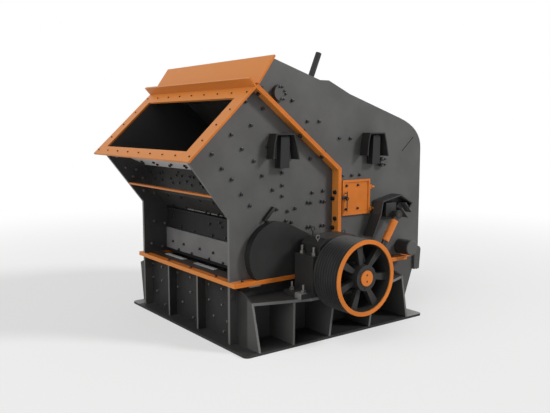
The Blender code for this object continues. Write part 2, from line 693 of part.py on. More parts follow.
def side_casing():
    """Shallow casing flat on the flange, drawn in from its round front end to the shaft."""
    front, shaft = Vector(CASING_CENTRE), Vector((SHAFT_Y, SHAFT_Z))
    line = shaft - front
    heading = math.atan2(line.y, line.x)
    tangent = math.acos((CASING_RADIUS - CASING_SHAFT_RADIUS) / line.length)
    outline = (arc(front, CASING_RADIUS, heading + tangent, heading + math.tau - tangent, 32)
               + arc(shaft, CASING_SHAFT_RADIUS, heading - tangent, heading + tangent, 16))
    start = BODY_HALF_WIDTH + SEAT_GAP
    casing = prism("side_casing_right", outline, start, start + CASING_REACH)
    below = block("below", (start - CASING_REACH, front.x - 2 * CASING_RADIUS, 0),
                  (start + 2 * CASING_REACH, SPLIT_Y, HOUSING_FOOT))
    return cut(casing, below, shaft_passage("passage"))


def hooded_bracket(name, corner):
    """Bent hood open to the side, over a hanging post on a back plate."""
    start = BODY_HALF_WIDTH + SEAT_GAP
    back, post, skirt = (
        [Vector(corner) + Vector(p) for p in shape] for shape in (HOODED_BACK, HOODED_POST, HOODED_SKIRT))
    hood = skirt + beside(skirt, -HOODED_SHEET)[::-1]
    return fuse(prism(name, back, start, start + HOODED_BACK_DEPTH),
                prism("post", post, start, start + HOODED_POST_DEPTH),
                prism("hood", hood, start, start + HOODED_DEPTH))


def roof_path():
    """Top line of the rear housing from the back of the hood to the rear edge, then down."""
    corner = Vector(ROOF_REAR)
    down = Vector((BODY_REAR, REAR_SHOULDER_Z))
    front = meet(ROOF_FRONT, between(ROOF_FRONT, ROOF_RISE_START), *BEHIND_HOOD)
    top = meet(corner, between(ROOF_RISE_FOOT, ROOF_REAR), down, UPRIGHT)
    curve = []
    for i in range(REAR_SHOULDER_STEPS + 1):
        t = i / REAR_SHOULDER_STEPS
        curve.append(corner * (1 - t) ** 2 + top * (2 * t * (1 - t)) + down * t ** 2)
    return [front] + [Vector(p) for p in (ROOF_RISE_START, ROOF_RISE_END, ROOF_RISE_FOOT)] + curve


def hood_panel():
    path = [HOOD_FOOT, HOOD_TOP]
    outline = path + beside(path, -HOOD_THICKNESS)[::-1]
    return prism("hood_panel", outline, -HOOD_HALF_WIDTH, HOOD_HALF_WIDTH)


def rear_side():
    """Side plate of the tipping housing with its hinge ear, inspection opening and slot."""
    inner = BODY_HALF_WIDTH - SIDE_THICKNESS
    drop = math.asin((HINGE_Z - HOUSING_FOOT) / HINGE_EAR_RADIUS)
    rise = math.acos((BODY_REAR - HINGE_Y) / HINGE_EAR_RADIUS)
    ear = arc((HINGE_Y, HINGE_Z), HINGE_EAR_RADIUS, rise, drop - math.pi, 14)
    split = split_path(SEAT_GAP, HOUSING_FOOT, BEHIND_HOOD)
    plate = prism("rear_side_right", split[::-1] + roof_path() + ear, inner, BODY_HALF_WIDTH)
    near, far = inner - FREE_GAP, BODY_HALF_WIDTH + FREE_GAP
    hole = rod("hole", near, far, HINGE_PIN_RADIUS + RUNNING_GAP, (HINGE_Y, HINGE_Z), SMALL_ROUND)
    window = block("window", (near, DOOR_Y[0] + DOOR_OVERLAP, DOOR_Z[0] + DOOR_OVERLAP),
                   (far, DOOR_Y[1] - DOOR_OVERLAP, DOOR_Z[1] - DOOR_OVERLAP))
    half_slot = REAR_SLOT_WIDTH / 2
    slot = prism("slot", beside(REAR_SLOT, half_slot) + beside(REAR_SLOT, -half_slot)[::-1],
                 near, far)
    cut(plate, hole, window, slot)
    x, y = door_pin_place()
    for middle in KNUCKLE_HEIGHTS:
        low, high = middle + KNUCKLE_LENGTH / 2, middle + KNUCKLE_LENGTH
        eye = block("eye", (BODY_HALF_WIDTH - KNUCKLE_RADIUS, y - DOOR_PIN_RADIUS, low),
                    (x + DOOR_PIN_RADIUS, y + KNUCKLE_RADIUS, high))
        pin = upright("pin", x, y, middle - KNUCKLE_LENGTH / 2, (low + high) / 2, DOOR_PIN_RADIUS)
        fuse(plate, fuse(eye, pin))
    return plate


def rear_shell():
    """Roof, rounded shoulder and rear wall of the tipping housing in one bent plate."""
    foot_y, bend_z = SHELL_FOOT
    path = [split_path(SEAT_GAP, HOUSING_FOOT, BEHIND_HOOD)[0] + HOOD_STEP * FREE_GAP] + roof_path()
    path += [Vector((BODY_REAR, bend_z)), Vector((foot_y, HOUSING_FOOT))]
    inner = beside(path, -SHELL_THICKNESS)
    inner[-1] = meet(inner[-1], between(path[-2], path[-1]), path[-1], LEVEL)
    shell = prism("rear_shell", path + inner[::-1], -INNER_HALF_WIDTH, INNER_HALF_WIDTH)
    return cut(shell, tilted_rod("hole", ROOF_ROD_RADIUS + RUNNING_GAP))


def tilted_rod(name, radius):
    """Round bar through the roof, along the roof rod."""
    foot, top = Vector(ROOF_ROD_FOOT), Vector(ROOF_ROD_TOP)
    step = between(foot, top)
    start = foot - step * ROOF_ROD_BURIED
    bar = upright(name, 0, 0, 0, (top - start).length, radius)
    tilt = -math.atan2(step.x, step.y)
    for vert in bar.data.vertices:
        y = vert.co.y * math.cos(tilt) - vert.co.z * math.sin(tilt)
        z = vert.co.y * math.sin(tilt) + vert.co.z * math.cos(tilt)
        vert.co = (vert.co.x + ROOF_ROD_X, start.x + y, start.y + z)
    return bar


def apron(name, shaft, leaf, boss_radius):
    """Impact apron hung on its shaft between the side plates."""
    bar = rod(name, -INNER_HALF_WIDTH, INNER_HALF_WIDTH, boss_radius * APRON_SHAFT_SHARE, shaft, SMALL_ROUND)
    path = [Vector(shaft)] + [Vector(p) for p in leaf]
    near, far = beside(path, APRON_THICKNESS / 2), beside(path, -APRON_THICKNESS / 2)
    fuse(bar, prism("leaf", near + far[::-1], -APRON_HALF_WIDTH, APRON_HALF_WIDTH))
    return bar


def apron_boss(name, shaft, radius):
    start = BODY_HALF_WIDTH + SEAT_GAP
    return rod(name, start, start + APRON_BOSS_REACH, radius, shaft, SMALL_ROUND)


def pivot_drum():
    start = BODY_HALF_WIDTH + SEAT_GAP
    end = start + PIVOT_DRUM_REACH
    chamfer = PIVOT_DRUM_CHAMFER
    return turned("pivot_drum_right",
                  [(start, 0), (start, PIVOT_DRUM_RADIUS), (end - chamfer, PIVOT_DRUM_RADIUS),
                   (end, PIVOT_DRUM_RADIUS - chamfer), (end, 0)], PIVOT_DRUM, SMALL_ROUND)


def lift_bracket():
    """Skirted plate on the side of the tipping housing with the upper pin of a lift cylinder."""
    start = BODY_HALF_WIDTH + SEAT_GAP
    plate_end = start + LIFT_PLATE_THICKNESS
    root = plate_end - LIFT_PLATE_THICKNESS / 2
    plate = prism("lift_bracket_right", LIFT_PLATE + LIFT_SKIN[::-1], start, plate_end)
    sheet = list(LIFT_SKIN) + beside(LIFT_SKIN, -LIFT_SKIN_THICKNESS)[::-1]
    skirt = prism("skirt", sheet, start, start + LIFT_SKIN_REACH)
    boss = rod("boss", root, CYLINDER_X - EYE_WIDTH / 2 - FREE_GAP, EYE_RADIUS - 2 * FREE_GAP, LIFT_PIVOT,
               SMALL_ROUND)
    pin = rod("pin", root, CYLINDER_X + EYE_WIDTH / 2 + FREE_GAP, LIFT_PIN_RADIUS, LIFT_PIVOT, SMALL_ROUND)
    return fuse(plate, skirt, boss, pin)


def along_cylinder(name, profile, steps=SMALL_ROUND):
    """A profile of (distance from the upper pivot, radius) turned round the line of the lift cylinder."""
    top, foot = Vector(LIFT_PIVOT), Vector(FOOT_PIVOT)
    step = between(top, foot)
    bar = turned(name, profile, (0, 0), steps)
    for vert in bar.data.vertices:
        along, up, out = vert.co.x, vert.co.y, vert.co.z
        side = top + step * along + across(step) * up
        vert.co = (CYLINDER_X + out, side.x, side.y)
    bm = bmesh.new()
    bm.from_mesh(bar.data)
    bmesh.ops.recalc_face_normals(bm, faces=bm.faces)
    bm.to_mesh(bar.data)
    bm.free()
    return bar


def barrel():
    """Barrel with its eye, bored for the rod, and the guide tube below it."""
    bore = ROD_RADIUS + RUNNING_GAP
    start = EYE_RADIUS - FREE_GAP
    tube = along_cylinder("lift_barrel_right", [
        (start, 0), (start, BARREL_RADIUS), (BARREL_LENGTH, BARREL_RADIUS), (BARREL_LENGTH, GUIDE_RADIUS),
        (GUIDE_END, GUIDE_RADIUS), (GUIDE_END, bore), (BARREL_BORE_START, bore), (BARREL_BORE_START, 0)])
    half = EYE_WIDTH / 2
    eye = rod("eye", CYLINDER_X - half, CYLINDER_X + half, EYE_RADIUS, LIFT_PIVOT, SMALL_ROUND)
    slot = rod("slot", CYLINDER_X - 2 * EYE_WIDTH, CYLINDER_X + 2 * EYE_WIDTH, LIFT_PIN_RADIUS + RUNNING_GAP,
               LIFT_PIVOT, SMALL_ROUND)
    fuse(tube, eye)
    return cut(tube, slot)


def piston_rod():
    length = (Vector(FOOT_PIVOT) - Vector(LIFT_PIVOT)).length
    start = length - ROD_REACH
    bar = along_cylinder("lift_rod_right", [
        (start, 0), (start, ROD_RADIUS), (length, ROD_RADIUS), (length, 0)])
    half = EYE_WIDTH / 2
    eye = rod("eye", CYLINDER_X - half, CYLINDER_X + half, FOOT_EYE_RADIUS, FOOT_PIVOT, SMALL_ROUND)
    return fuse(bar, eye)


def door_pin_place():
    """Where the hinge pins of a door stand, in x and y."""
    return BODY_HALF_WIDTH + KNUCKLE_RADIUS + DOOR_PIN_STANDOFF, DOOR_Y[1] + KNUCKLE_RADIUS


def door():
    """Inspection door with a raised rim and two knuckles that stand on fixed pins."""
    x, y = door_pin_place()
    start = BODY_HALF_WIDTH + SEAT_GAP
    end = start + DOOR_THICKNESS
    panel = block("door_right", (start, DOOR_Y[0], DOOR_Z[0]), (end, DOOR_Y[1], DOOR_Z[1]))
    recess = block("recess", (end - DOOR_RECESS, DOOR_Y[0] + DOOR_RIM, DOOR_Z[0] + DOOR_RIM),
                   (end + DOOR_RECESS, DOOR_Y[1] - DOOR_RIM, DOOR_Z[1] - DOOR_RIM))
    cut(panel, recess)
    for middle in KNUCKLE_HEIGHTS:
        low, high = middle - KNUCKLE_LENGTH / 2, middle + KNUCKLE_LENGTH / 2 - SEAT_GAP
        knuckle = upright("knuckle", x, y, low, high, KNUCKLE_RADIUS)
        leaf = block("leaf", (x, DOOR_Y[1] - KNUCKLE_RADIUS, low), (end, y, high))
        hole = upright("hole", x, y, low - KNUCKLE_LENGTH, high + KNUCKLE_LENGTH,
                       DOOR_PIN_RADIUS + RUNNING_GAP)
        fuse(panel, leaf, knuckle)
        cut(panel, hole)
    return panel


def rotor_shaft():
    left = -(BEARING_INNER + BEARING_WIDTH)
    shoulder = BEARING_INNER - FREE_GAP
    outer = BEARING_INNER + BEARING_WIDTH + FREE_GAP
    return turned("rotor_shaft", [
        (left, 0), (left, JOURNAL_RADIUS), (-shoulder, JOURNAL_RADIUS), (-shoulder, SHAFT_RADIUS),
        (shoulder, SHAFT_RADIUS), (shoulder, JOURNAL_RADIUS), (outer, JOURNAL_RADIUS),
        (outer, PULLEY_SEAT_RADIUS), (PULLEY_OUTER - SEAT_GAP, PULLEY_SEAT_RADIUS),
        (PULLEY_OUTER - SEAT_GAP, 0)], (SHAFT_Y, SHAFT_Z))


def rotor_body():
    """Rotor with a pocket and a blow bar at each of its arms."""
    centre = Vector((SHAFT_Y, SHAFT_Z))
    outline = []
    half_bar = BLOW_BAR_THICKNESS / 2
    for i in range(ROTOR_ARMS):
        angle = math.tau * i / ROTOR_ARMS + ROTOR_FIRST_ARM
        step, side = direction(angle), across(direction(angle))
        tip = math.sqrt(ROTOR_RADIUS ** 2 - half_bar ** 2)
        outline += [
            centre + step * POCKET_RADIUS - side * (half_bar + POCKET_WIDTH),
            centre + step * (ROTOR_DISC_RADIUS - POCKET_WIDTH) - side * half_bar,
            centre + step * tip - side * half_bar,
            centre + step * tip + side * half_bar,
            centre + step * ROTOR_DISC_RADIUS + side * half_bar,
        ]
        outline += arc(centre, ROTOR_DISC_RADIUS, angle + SADDLE_START, angle + SADDLE_END, 4)
    body = prism("rotor_body", outline, -ROTOR_HALF_WIDTH, ROTOR_HALF_WIDTH)
    bore = rod("bore", -2 * ROTOR_HALF_WIDTH, 2 * ROTOR_HALF_WIDTH, SHAFT_RADIUS + SEAT_GAP, centre)
    return cut(body, bore)


def pulley_rim_profile():
    """Outside of the rim, from its inner to its outer end, with a V groove for each belt."""
    inner, outer = PULLEY_INNER, PULLEY_OUTER - RIM_RING_THICKNESS - SEAT_GAP
    pitch = (outer - inner) / (PULLEY_GROOVES + 0.5)
    floor = PULLEY_RADIUS - GROOVE_DEPTH
    down, along, up = (pitch * share for share in GROOVE_SHARES)
    profile = [(inner, PULLEY_RADIUS)]
    for i in range(PULLEY_GROOVES):
        start = inner + pitch * (i + 0.5)
        profile += [(start, PULLEY_RADIUS), (start + down, floor), (start + along, floor),
                    (start + up, PULLEY_RADIUS)]
    return profile + [(outer, PULLEY_RADIUS)]


def pulley():
    """Grooved rim on tapered spokes round a hub."""
    centre = (SHAFT_Y, SHAFT_Z)
    outer = PULLEY_OUTER - RIM_RING_THICKNESS - SEAT_GAP
    profile = pulley_rim_profile() + [(outer, PULLEY_RIM_INNER), (PULLEY_INNER, PULLEY_RIM_INNER)]
    rim = turned("pulley", profile, centre)
    hub_inner = BEARING_INNER + BEARING_WIDTH + 2 * FREE_GAP
    hub = rod("hub", hub_inner, PULLEY_OUTER, PULLEY_HUB_RADIUS, centre)
    spoke_end = PULLEY_OUTER - SPOKE_SETBACK
    for i in range(PULLEY_SPOKES):
        angle = SPOKE_FIRST + math.tau * i / PULLEY_SPOKES
        step, side = direction(angle), across(direction(angle))
        near = Vector(centre) + step * (PULLEY_HUB_RADIUS - SPOKE_BURIED)
        far = Vector(centre) + step * (PULLEY_RIM_INNER + SPOKE_BURIED)
        outline = [near - side * SPOKE_HUB_HALF_WIDTH, far - side * SPOKE_RIM_HALF_WIDTH,
                   far + side * SPOKE_RIM_HALF_WIDTH, near + side * SPOKE_HUB_HALF_WIDTH]
        fuse(hub, prism("spoke", outline, spoke_end - SPOKE_THICKNESS, spoke_end))
    fuse(rim, hub)
    return cut(rim, rod("bore", hub_inner - FREE_GAP, PULLEY_OUTER + FREE_GAP,
                        PULLEY_SEAT_RADIUS + SEAT_GAP, centre))


def rim_ring():
    return turned("pulley_rim_ring", [
        (PULLEY_OUTER - RIM_RING_THICKNESS, PULLEY_RADIUS), (PULLEY_OUTER, PULLEY_RADIUS),
        (PULLEY_OUTER, PULLEY_RIM_INNER), (PULLEY_OUTER - RIM_RING_THICKNESS, PULLEY_RIM_INNER)],
        (SHAFT_Y, SHAFT_Z))


def hub_cap():
    start = PULLEY_OUTER + SEAT_GAP
    return rod("hub_cap", start, MACHINE_RIGHT, HUB_CAP_RADIUS, (SHAFT_Y, SHAFT_Z), SMALL_ROUND)


def build():
    for old in list(bpy.data.objects):
        bpy.data.objects.remove(old)
    machine = empty("machine", None, (-(MACHINE_RIGHT + MACHINE_LEFT) / 2,
                                      -(MACHINE_FRONT + MACHINE_REAR) / 2, 0))
    housing = empty("housing_hinge", machine, (0, HINGE_Y, HINGE_Z))
    rotor = empty("rotor_axis", machine, (0, SHAFT_Y, SHAFT_Z))
    pin_x, pin_y = door_pin_place()
    doors, barrels = [], []
    for name, side in (("right", 1), ("left", -1)):
        doors.append(empty("door_hinge_" + name, housing, (side * pin_x, pin_y, DOOR_Z[0])))
        barrels.append(empty("lift_pivot_" + name, housing, (side * CYLINDER_X, *LIFT_PIVOT)))
    fixed, tipping = (machine, machine), (housing, housing)

    finish(base_plate(), machine, BLACK)
    both_sides(lower_side(), fixed, CHARCOAL)
    finish(lower_wall("lower_front_wall", BODY_FRONT + PANEL_RECESS, BODY_FRONT), machine, BLACK)
    finish(lower_wall("lower_rear_wall", REAR_PANEL_Y, BASE_DEPTH), machine, BLACK)
    lower, upper = FLANGE_Z - FLANGE_THICKNESS, FLANGE_Z + SEAT_GAP
    finish(front_flange("lower_flange_front", lower), machine, ORANGE)
    finish(rear_flange("lower_flange_rear", SHAFT_Y, lower), machine, ORANGE)
    finish(front_flange("front_base_flange", upper), machine, ORANGE)
    both_sides(front_side(), fixed, CHARCOAL)
    finish(upper_front_wall(), machine, BLACK)
    finish(cover_plate(), machine, GREY)
    finish(feed_floor(), machine, GREY)
    finish(tie_bar(), machine, ORANGE)
    finish(feed_frame(), machine, ORANGE)
    both_sides(front_split_flange(), fixed, ORANGE)
    right = pedestal("pedestal_right", BASE_RIGHT)
    left = pedestal("pedestal", BASE_LEFT)
    finish(right, machine, BLACK)
    finish(mirrored(left, "pedestal_left"), machine, BLACK)
    bpy.data.objects.remove(left)
    both_sides(bearing(), fixed, BLACK, True)
    both_sides(side_casing(), fixed, BLACK, True)
    both_sides(hooded_bracket("hooded_bracket_front_right", HOODED_FRONT), fixed, BLACK)

    both_sides(rear_side(), tipping, CHARCOAL)
    finish(rear_shell(), housing, CHARCOAL)
    finish(hood_panel(), housing, ORANGE)
    finish(rear_flange("rear_base_flange", SPLIT_Y + SPLIT_RELIEF, upper), housing, ORANGE)
    both_sides(
        split_strip("rear_split_flange_right", SEAT_GAP, FLANGE_THICKNESS, HOUSING_FOOT, BEHIND_HOOD),
        tipping, ORANGE)
    both_sides(hooded_bracket("hooded_bracket_rear_right", HOODED_REAR), tipping, BLACK)
    for end, shaft, leaf, radius in (
            ("front", APRON_SHAFT_FRONT, APRON_LEAF_FRONT, APRON_BOSS_RADII[0]),
            ("rear", APRON_SHAFT_REAR, APRON_LEAF_REAR, APRON_BOSS_RADII[1])):
        finish(apron("impact_apron_" + end, shaft, leaf, radius), housing, STEEL)
        both_sides(apron_boss(f"apron_boss_{end}_right", shaft, radius), tipping, CHARCOAL, True)
    both_sides(pivot_drum(), tipping, BLACK, True)
    both_sides(lift_bracket(), tipping, BLACK)
    finish(tilted_rod("roof_rod", ROOF_ROD_RADIUS), housing, BLACK, True)
    both_sides(barrel(), barrels, ORANGE, True)
    both_sides(piston_rod(), barrels, STEEL, True)
    both_sides(door(), doors, ORANGE)

    finish(rotor_shaft(), rotor, STEEL, True)
    finish(rotor_body(), rotor, STEEL)
    finish(pulley(), rotor, BLACK, True)
    finish(rim_ring(), rotor, ORANGE, True)
    finish(hub_cap(), rotor, ORANGE, True)


build()
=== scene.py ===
"""Looks of an impact crusher: paint, bolts, bearings, door gear and studio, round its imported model.

Metres. Pieces are placed in machine coordinates, x from the middle of the body with the pulley at
+x, y from the front edge of the base plate, and z from the ground. at() turns them into the frame's.
"""

import math

import bmesh
import bpy
from mathutils import Matrix, Vector


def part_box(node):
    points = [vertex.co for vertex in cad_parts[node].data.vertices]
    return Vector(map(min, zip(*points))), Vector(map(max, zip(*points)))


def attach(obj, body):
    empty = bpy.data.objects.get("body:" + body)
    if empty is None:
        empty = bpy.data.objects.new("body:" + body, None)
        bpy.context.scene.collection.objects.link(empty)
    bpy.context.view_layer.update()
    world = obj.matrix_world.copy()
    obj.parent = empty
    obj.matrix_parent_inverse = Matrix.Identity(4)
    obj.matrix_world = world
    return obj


bl_info = {
    "name": "Impact crusher looks",
    "version": (1, 0, 0),
    "blender": (4, 5, 0),
    "location": "3D View > Sidebar > Crusher",
    "description": "Paint, fasteners and studio of an impact crusher",
    "category": "Object",
}

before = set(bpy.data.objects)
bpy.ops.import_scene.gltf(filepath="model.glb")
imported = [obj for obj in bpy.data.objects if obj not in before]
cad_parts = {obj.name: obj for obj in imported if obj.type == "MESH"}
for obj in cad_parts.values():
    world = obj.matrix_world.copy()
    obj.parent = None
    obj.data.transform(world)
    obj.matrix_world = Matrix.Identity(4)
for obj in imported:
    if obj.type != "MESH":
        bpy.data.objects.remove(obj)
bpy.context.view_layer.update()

MIDDLE = sum(corner.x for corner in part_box("rear_shell")) / 2
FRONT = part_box("base_plate")[0].y
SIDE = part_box("front_side_right")[1].x - MIDDLE  # outer face of the side plates
SEAT_GAP = 0.0003  # between solids that touch
PLATE_THICKNESS = 0.0375
NAMES = {1: "right", -1: "left"}


def at(x, y, z):
    """A place given in machine coordinates."""
    return Vector((x + MIDDLE, y + FRONT, z))


def unit(y, z):
    """Direction in the side view."""
    return Vector((0, y, z)).normalized()


LIFT_PIVOT = (2.26, 1.17)  # y and z of the upper pin of the lift cylinders
HUB_CAP_SCREWS = ((1.117, 0.678), (1.117, 0.742))  # y and z
CYLINDER_STEP = unit(1.86 - 2.26, 0.58 - 1.17)  # from the upper pin towards the foot


class CrusherSizes(bpy.types.PropertyGroup):
    """Widths of the bolts across their flats, and the size of the welds."""

    plate_bolt: bpy.props.FloatProperty(
        name="Liner bolt", description="Bolt of the side plates, the roof and the rear wall", default=0.030,
        unit="LENGTH")
    wall_bolt: bpy.props.FloatProperty(
        name="Front wall bolt", description="Bolt of the walls below the feed inlet", default=0.0255,
        unit="LENGTH")
    split_bolt: bpy.props.FloatProperty(
        name="Split bolt", description="Bolt through the strips beside the split", default=0.0368,
        unit="LENGTH")
    frame_bolt: bpy.props.FloatProperty(
        name="Feed frame bolt", description="Bolt of the feed frame", default=0.01488, unit="LENGTH")
    small_bolt: bpy.props.FloatProperty(
        name="Small bolt", description="Bolt of the base flange, the doors and the lower frame",
        default=0.024, unit="LENGTH")
    boss_bolt: bpy.props.FloatProperty(
        name="Boss bolt", description="Bolt of the apron bosses", default=0.021, unit="LENGTH")
    bearing_nut: bpy.props.FloatProperty(
        name="Bearing nut", description="Nut of the bearings", default=0.045, unit="LENGTH")
    weld: bpy.props.FloatProperty(
        name="Weld bead", description="Radius of a weld bead", default=0.006, unit="LENGTH")


class CrusherPaints(bpy.types.PropertyGroup):
    """Colours of the finishes."""

    charcoal: bpy.props.FloatVectorProperty(
        name="Charcoal", description="Paint of the side plates", default=(0.063, 0.0621, 0.0607),
        subtype="COLOR", size=3)
    black: bpy.props.FloatVectorProperty(
        name="Black", description="Paint of the lower frame and the bearings",
        default=(0.023, 0.0224, 0.0218), subtype="COLOR", size=3)
    dark: bpy.props.FloatVectorProperty(
        name="Dark grey", description="Paint of the casings, the brackets and the pulley",
        default=(0.023, 0.0228, 0.0222), subtype="COLOR", size=3)
    rim: bpy.props.FloatVectorProperty(
        name="Plate edge", description="Paint on the narrow edges of the plates",
        default=(0.112, 0.111, 0.109), subtype="COLOR", size=3)
    orange: bpy.props.FloatVectorProperty(
        name="Orange", description="Paint of the flanges and the inlet", default=(0.50, 0.136, 0.013),
        subtype="COLOR", size=3)
    grey: bpy.props.FloatVectorProperty(
        name="Grey", description="Paint of the front plates", default=(0.135, 0.134, 0.133),
        subtype="COLOR", size=3)
    bolt: bpy.props.FloatVectorProperty(
        name="Bolt black", description="Finish of the bolts", default=(0.02, 0.02, 0.021),
        subtype="COLOR", size=3)
    steel: bpy.props.FloatVectorProperty(
        name="Steel", description="Bare steel of the shaft and the rods", default=(0.42, 0.41, 0.39),
        subtype="COLOR", size=3)


class CrusherStudio(bpy.types.PropertyGroup):
    """Camera, floor and light."""

    camera_height: bpy.props.FloatProperty(
        name="Camera height", description="Height of the camera above the floor", default=2.2, unit="LENGTH")
    focal_length: bpy.props.FloatProperty(
        name="Focal length", description="Focal length on a 36 mm sensor", default=43.44)
    sun_strength: bpy.props.FloatProperty(
        name="Sun", description="Strength of the key light, from behind on the right", default=2.5)
    fill_strength: bpy.props.FloatProperty(
        name="Fill", description="Strength of the softer light from above the inlet", default=1.6)
    sky_strength: bpy.props.FloatProperty(
        name="Sky", description="Strength of the light from all round", default=0.38)
    floor_shade: bpy.props.FloatProperty(
        name="Floor", description="Shade of the floor", default=0.72, subtype="FACTOR")


class Signal:
    """A socket of a material, so that shader maths can be written as Python expressions."""

    def __init__(self, tree, socket=None):
        self.tree = tree
        self.socket = socket

    def feed(self, target, value):
        """Set a socket to a value, or link it to a signal."""
        if isinstance(value, Signal):
            self.tree.links.new(value.socket, target)
        else:
            target.default_value = value

    def node(self, kind, inputs, output=0, **settings):
        """A new node: its settings first, then the values or links of its sockets."""
        node = self.tree.nodes.new(kind)
        for name, value in settings.items():
            setattr(node, name, value)
        for name, value in inputs.items():
            self.feed(node.inputs[name], value)
        return Signal(self.tree, node.outputs[output])

    def maths(self, operation, first, second=0.0, clamp=False):
        return self.node("ShaderNodeMath", {0: first, 1: second}, operation=operation, use_clamp=clamp)

    def __add__(self, other):
        return self.maths("ADD", self, other)

    __radd__ = __add__

    def __sub__(self, other):
        return self.maths("SUBTRACT", self, other)

    def __rsub__(self, other):
        return self.maths("SUBTRACT", other, self)

    def __mul__(self, other):
        return self.maths("MULTIPLY", self, other)

    __rmul__ = __mul__

    def clamped(self):
        return self.maths("ADD", self, 0.0, clamp=True)

    def between(self, low, high):
        """0 below low, 1 above high, and smooth from one to the other."""
        return self.node("ShaderNodeMapRange", {"Value": self, "From Min": low, "From Max": high},
                         interpolation_type="SMOOTHSTEP")

    def past(self, edge, blur=0.01):
        """0 before an edge, 1 past it, and smooth across its blur."""
        return self.between(edge - blur, edge + blur)

    def mix(self, first, second):
        """From one colour to another, by this signal."""
        def colour(value):
            return value if isinstance(value, Signal) else (*value[:3], 1.0)
        return self.node("ShaderNodeMix", {0: self, 6: colour(first), 7: colour(second)}, output=2,
                         data_type="RGBA")


def noise(nodes, place, scale, detail=3.0):
    return nodes.node("ShaderNodeTexNoise", {"Vector": place, "Scale": scale, "Detail": detail})


def vectors(nodes, operation, first, second=(0, 0, 0), output="Vector"):
    """Maths on two places or directions."""
    return nodes.node("ShaderNodeVectorMath", {0: first, 1: second}, output=output, operation=operation)


def edge_mask(nodes, radius):
    """1 on the sharp edges of a piece and 0 on its flats."""
    rounded = nodes.node("ShaderNodeBevel", {"Radius": radius}, samples=4)
    flat = nodes.node("ShaderNodeNewGeometry", {}, output="Normal")
    return (1.0 - vectors(nodes, "DOT_PRODUCT", rounded, flat, "Value")).between(0.02, 0.3)


def corner_mask(nodes, reach):
    """1 deep in a corner between plates and 0 in the open."""
    openness = nodes.node("ShaderNodeAmbientOcclusion", {"Distance": reach}, output="AO", samples=4)
    return (1.0 - openness).between(0.15, 0.75)


def face_turn(nodes, axis):
    """How far a face of a piece looks along an axis, from -1 to 1."""
    normal = nodes.node("ShaderNodeTexCoord", {}, output="Normal")
    return nodes.node("ShaderNodeSeparateXYZ", {"Vector": normal}, output=axis)


def place_along(nodes, place, start, step):
    """Distance of a place from a start, along a direction."""
    offset = vectors(nodes, "SUBTRACT", place, tuple(start))
    return vectors(nodes, "DOT_PRODUCT", offset, tuple(step), "Value")


def along_machine(nodes, place, axis):
    """Where a place lies along an axis of the machine."""
    return place_along(nodes, place, at(0, 0, 0), axis)


def looks_along(nodes, axis, low=0.4, high=0.7):
    """Faces that look along an axis, one way or the other."""
    turn = face_turn(nodes, axis)
    return (turn * turn).between(low, high)


# Edges between finishes, in machine coordinates
PEDESTAL_FRONT = 0.19
PEDESTAL_REAR = 2.22
FIRST_BAY = 0.25
BAY_TOP = 0.465
BODY_LEFT = -0.98
FLANGE_SHADE_FRONT = 0.15
FLANGE_SHADE_HALF_WIDTH = 0.922
RIB_FRONT = 0.11
RIB_REAR = 2.445
GUSSET_TIP = 1.149
POST_FOOT = 1.02
LEDGE_LOW = 1.22
BARREL_END = 0.346  # from the upper pin
EYE_END = 0.0775
CHAMBER = (0, 1.35, 1.5)  # middle of the crushing chamber
SCREW_RADIUS = 0.01025  # of the sunk screws in the hub cap

X_AXIS = (1, 0, 0)
Y_AXIS = (0, 1, 0)
Z_AXIS = (0, 0, 1)


def sideways(nodes, place):
    """Faces that look to the right or the left."""
    return looks_along(nodes, "X", 0.35, 0.6)


def edgeways(nodes, place):
    """The narrow faces round an upright side plate."""
    return 1.0 - sideways(nodes, place)


def forward(nodes, place):
    """Faces that look to the front."""
    return (0.0 - face_turn(nodes, "Y")).between(0.35, 0.6)


def upward(nodes, place):
    """Faces that look up."""
    return face_turn(nodes, "Z").between(0.3, 0.6)


def level(nodes):
    """Tops that lie level."""
    return face_turn(nodes, "Z").between(0.5, 0.8)


def downward(nodes, place):
    """Faces that look down."""
    return (0.0 - face_turn(nodes, "Z")).between(0.3, 0.5)


def inward(nodes, place):
    """Faces that look into the crushing chamber."""
    offset = vectors(nodes, "SUBTRACT", place, tuple(at(*CHAMBER)))
    normal = nodes.node("ShaderNodeTexCoord", {}, output="Normal")
    return (0.0 - vectors(nodes, "DOT_PRODUCT", offset, normal, "Value")).between(0.02, 0.12)


def lit_plate_ends(nodes, place):
    """Painted light: the top of the base plate behind the right pedestal and left of the body, lighter where
    it lies out from under the machine.
    """
    y = along_machine(nodes, place, Y_AXIS)
    x = along_machine(nodes, place, X_AXIS)
    return level(nodes) * (y.past(PEDESTAL_REAR) + 1.0 - x.past(BODY_LEFT)).clamped()


def shaded_flange_top(nodes, place):
    """Painted shade: the top of the flange under the front wall, darkened behind a ragged line for the shade
    the wall casts on it.
    """
    y = along_machine(nodes, place, Y_AXIS)
    x = along_machine(nodes, place, X_AXIS)
    streaks = noise(nodes, place, 6.0)
    return level(nodes) * (y + streaks * 0.03).past(FLANGE_SHADE_FRONT, 0.015) \
        * (1.0 - (x * x).past(FLANGE_SHADE_HALF_WIDTH ** 2))


def rib_tips(nodes, place):
    """Front and rear edges of the ribs between the lower side plates."""
    y = along_machine(nodes, place, Y_AXIS)
    return looks_along(nodes, "Y") * (1.0 - y.past(RIB_FRONT) + y.past(RIB_REAR, 0.005)).clamped()


def rib_faces(nodes, place):
    """Faces of the ribs of the pedestals, behind the front gusset."""
    return looks_along(nodes, "Y") * along_machine(nodes, place, Y_AXIS).past(FIRST_BAY, 0.05)


def gusset_tips(nodes, place):
    """Outer part of the end gussets of the pedestals."""
    x = along_machine(nodes, place, X_AXIS)
    y = along_machine(nodes, place, Y_AXIS)
    ends = (1.0 - y.past(PEDESTAL_FRONT) + y.past(PEDESTAL_REAR - 0.025, 0.005)).clamped()
    return looks_along(nodes, "Y") * (x * x).past(GUSSET_TIP ** 2, 0.04) * ends


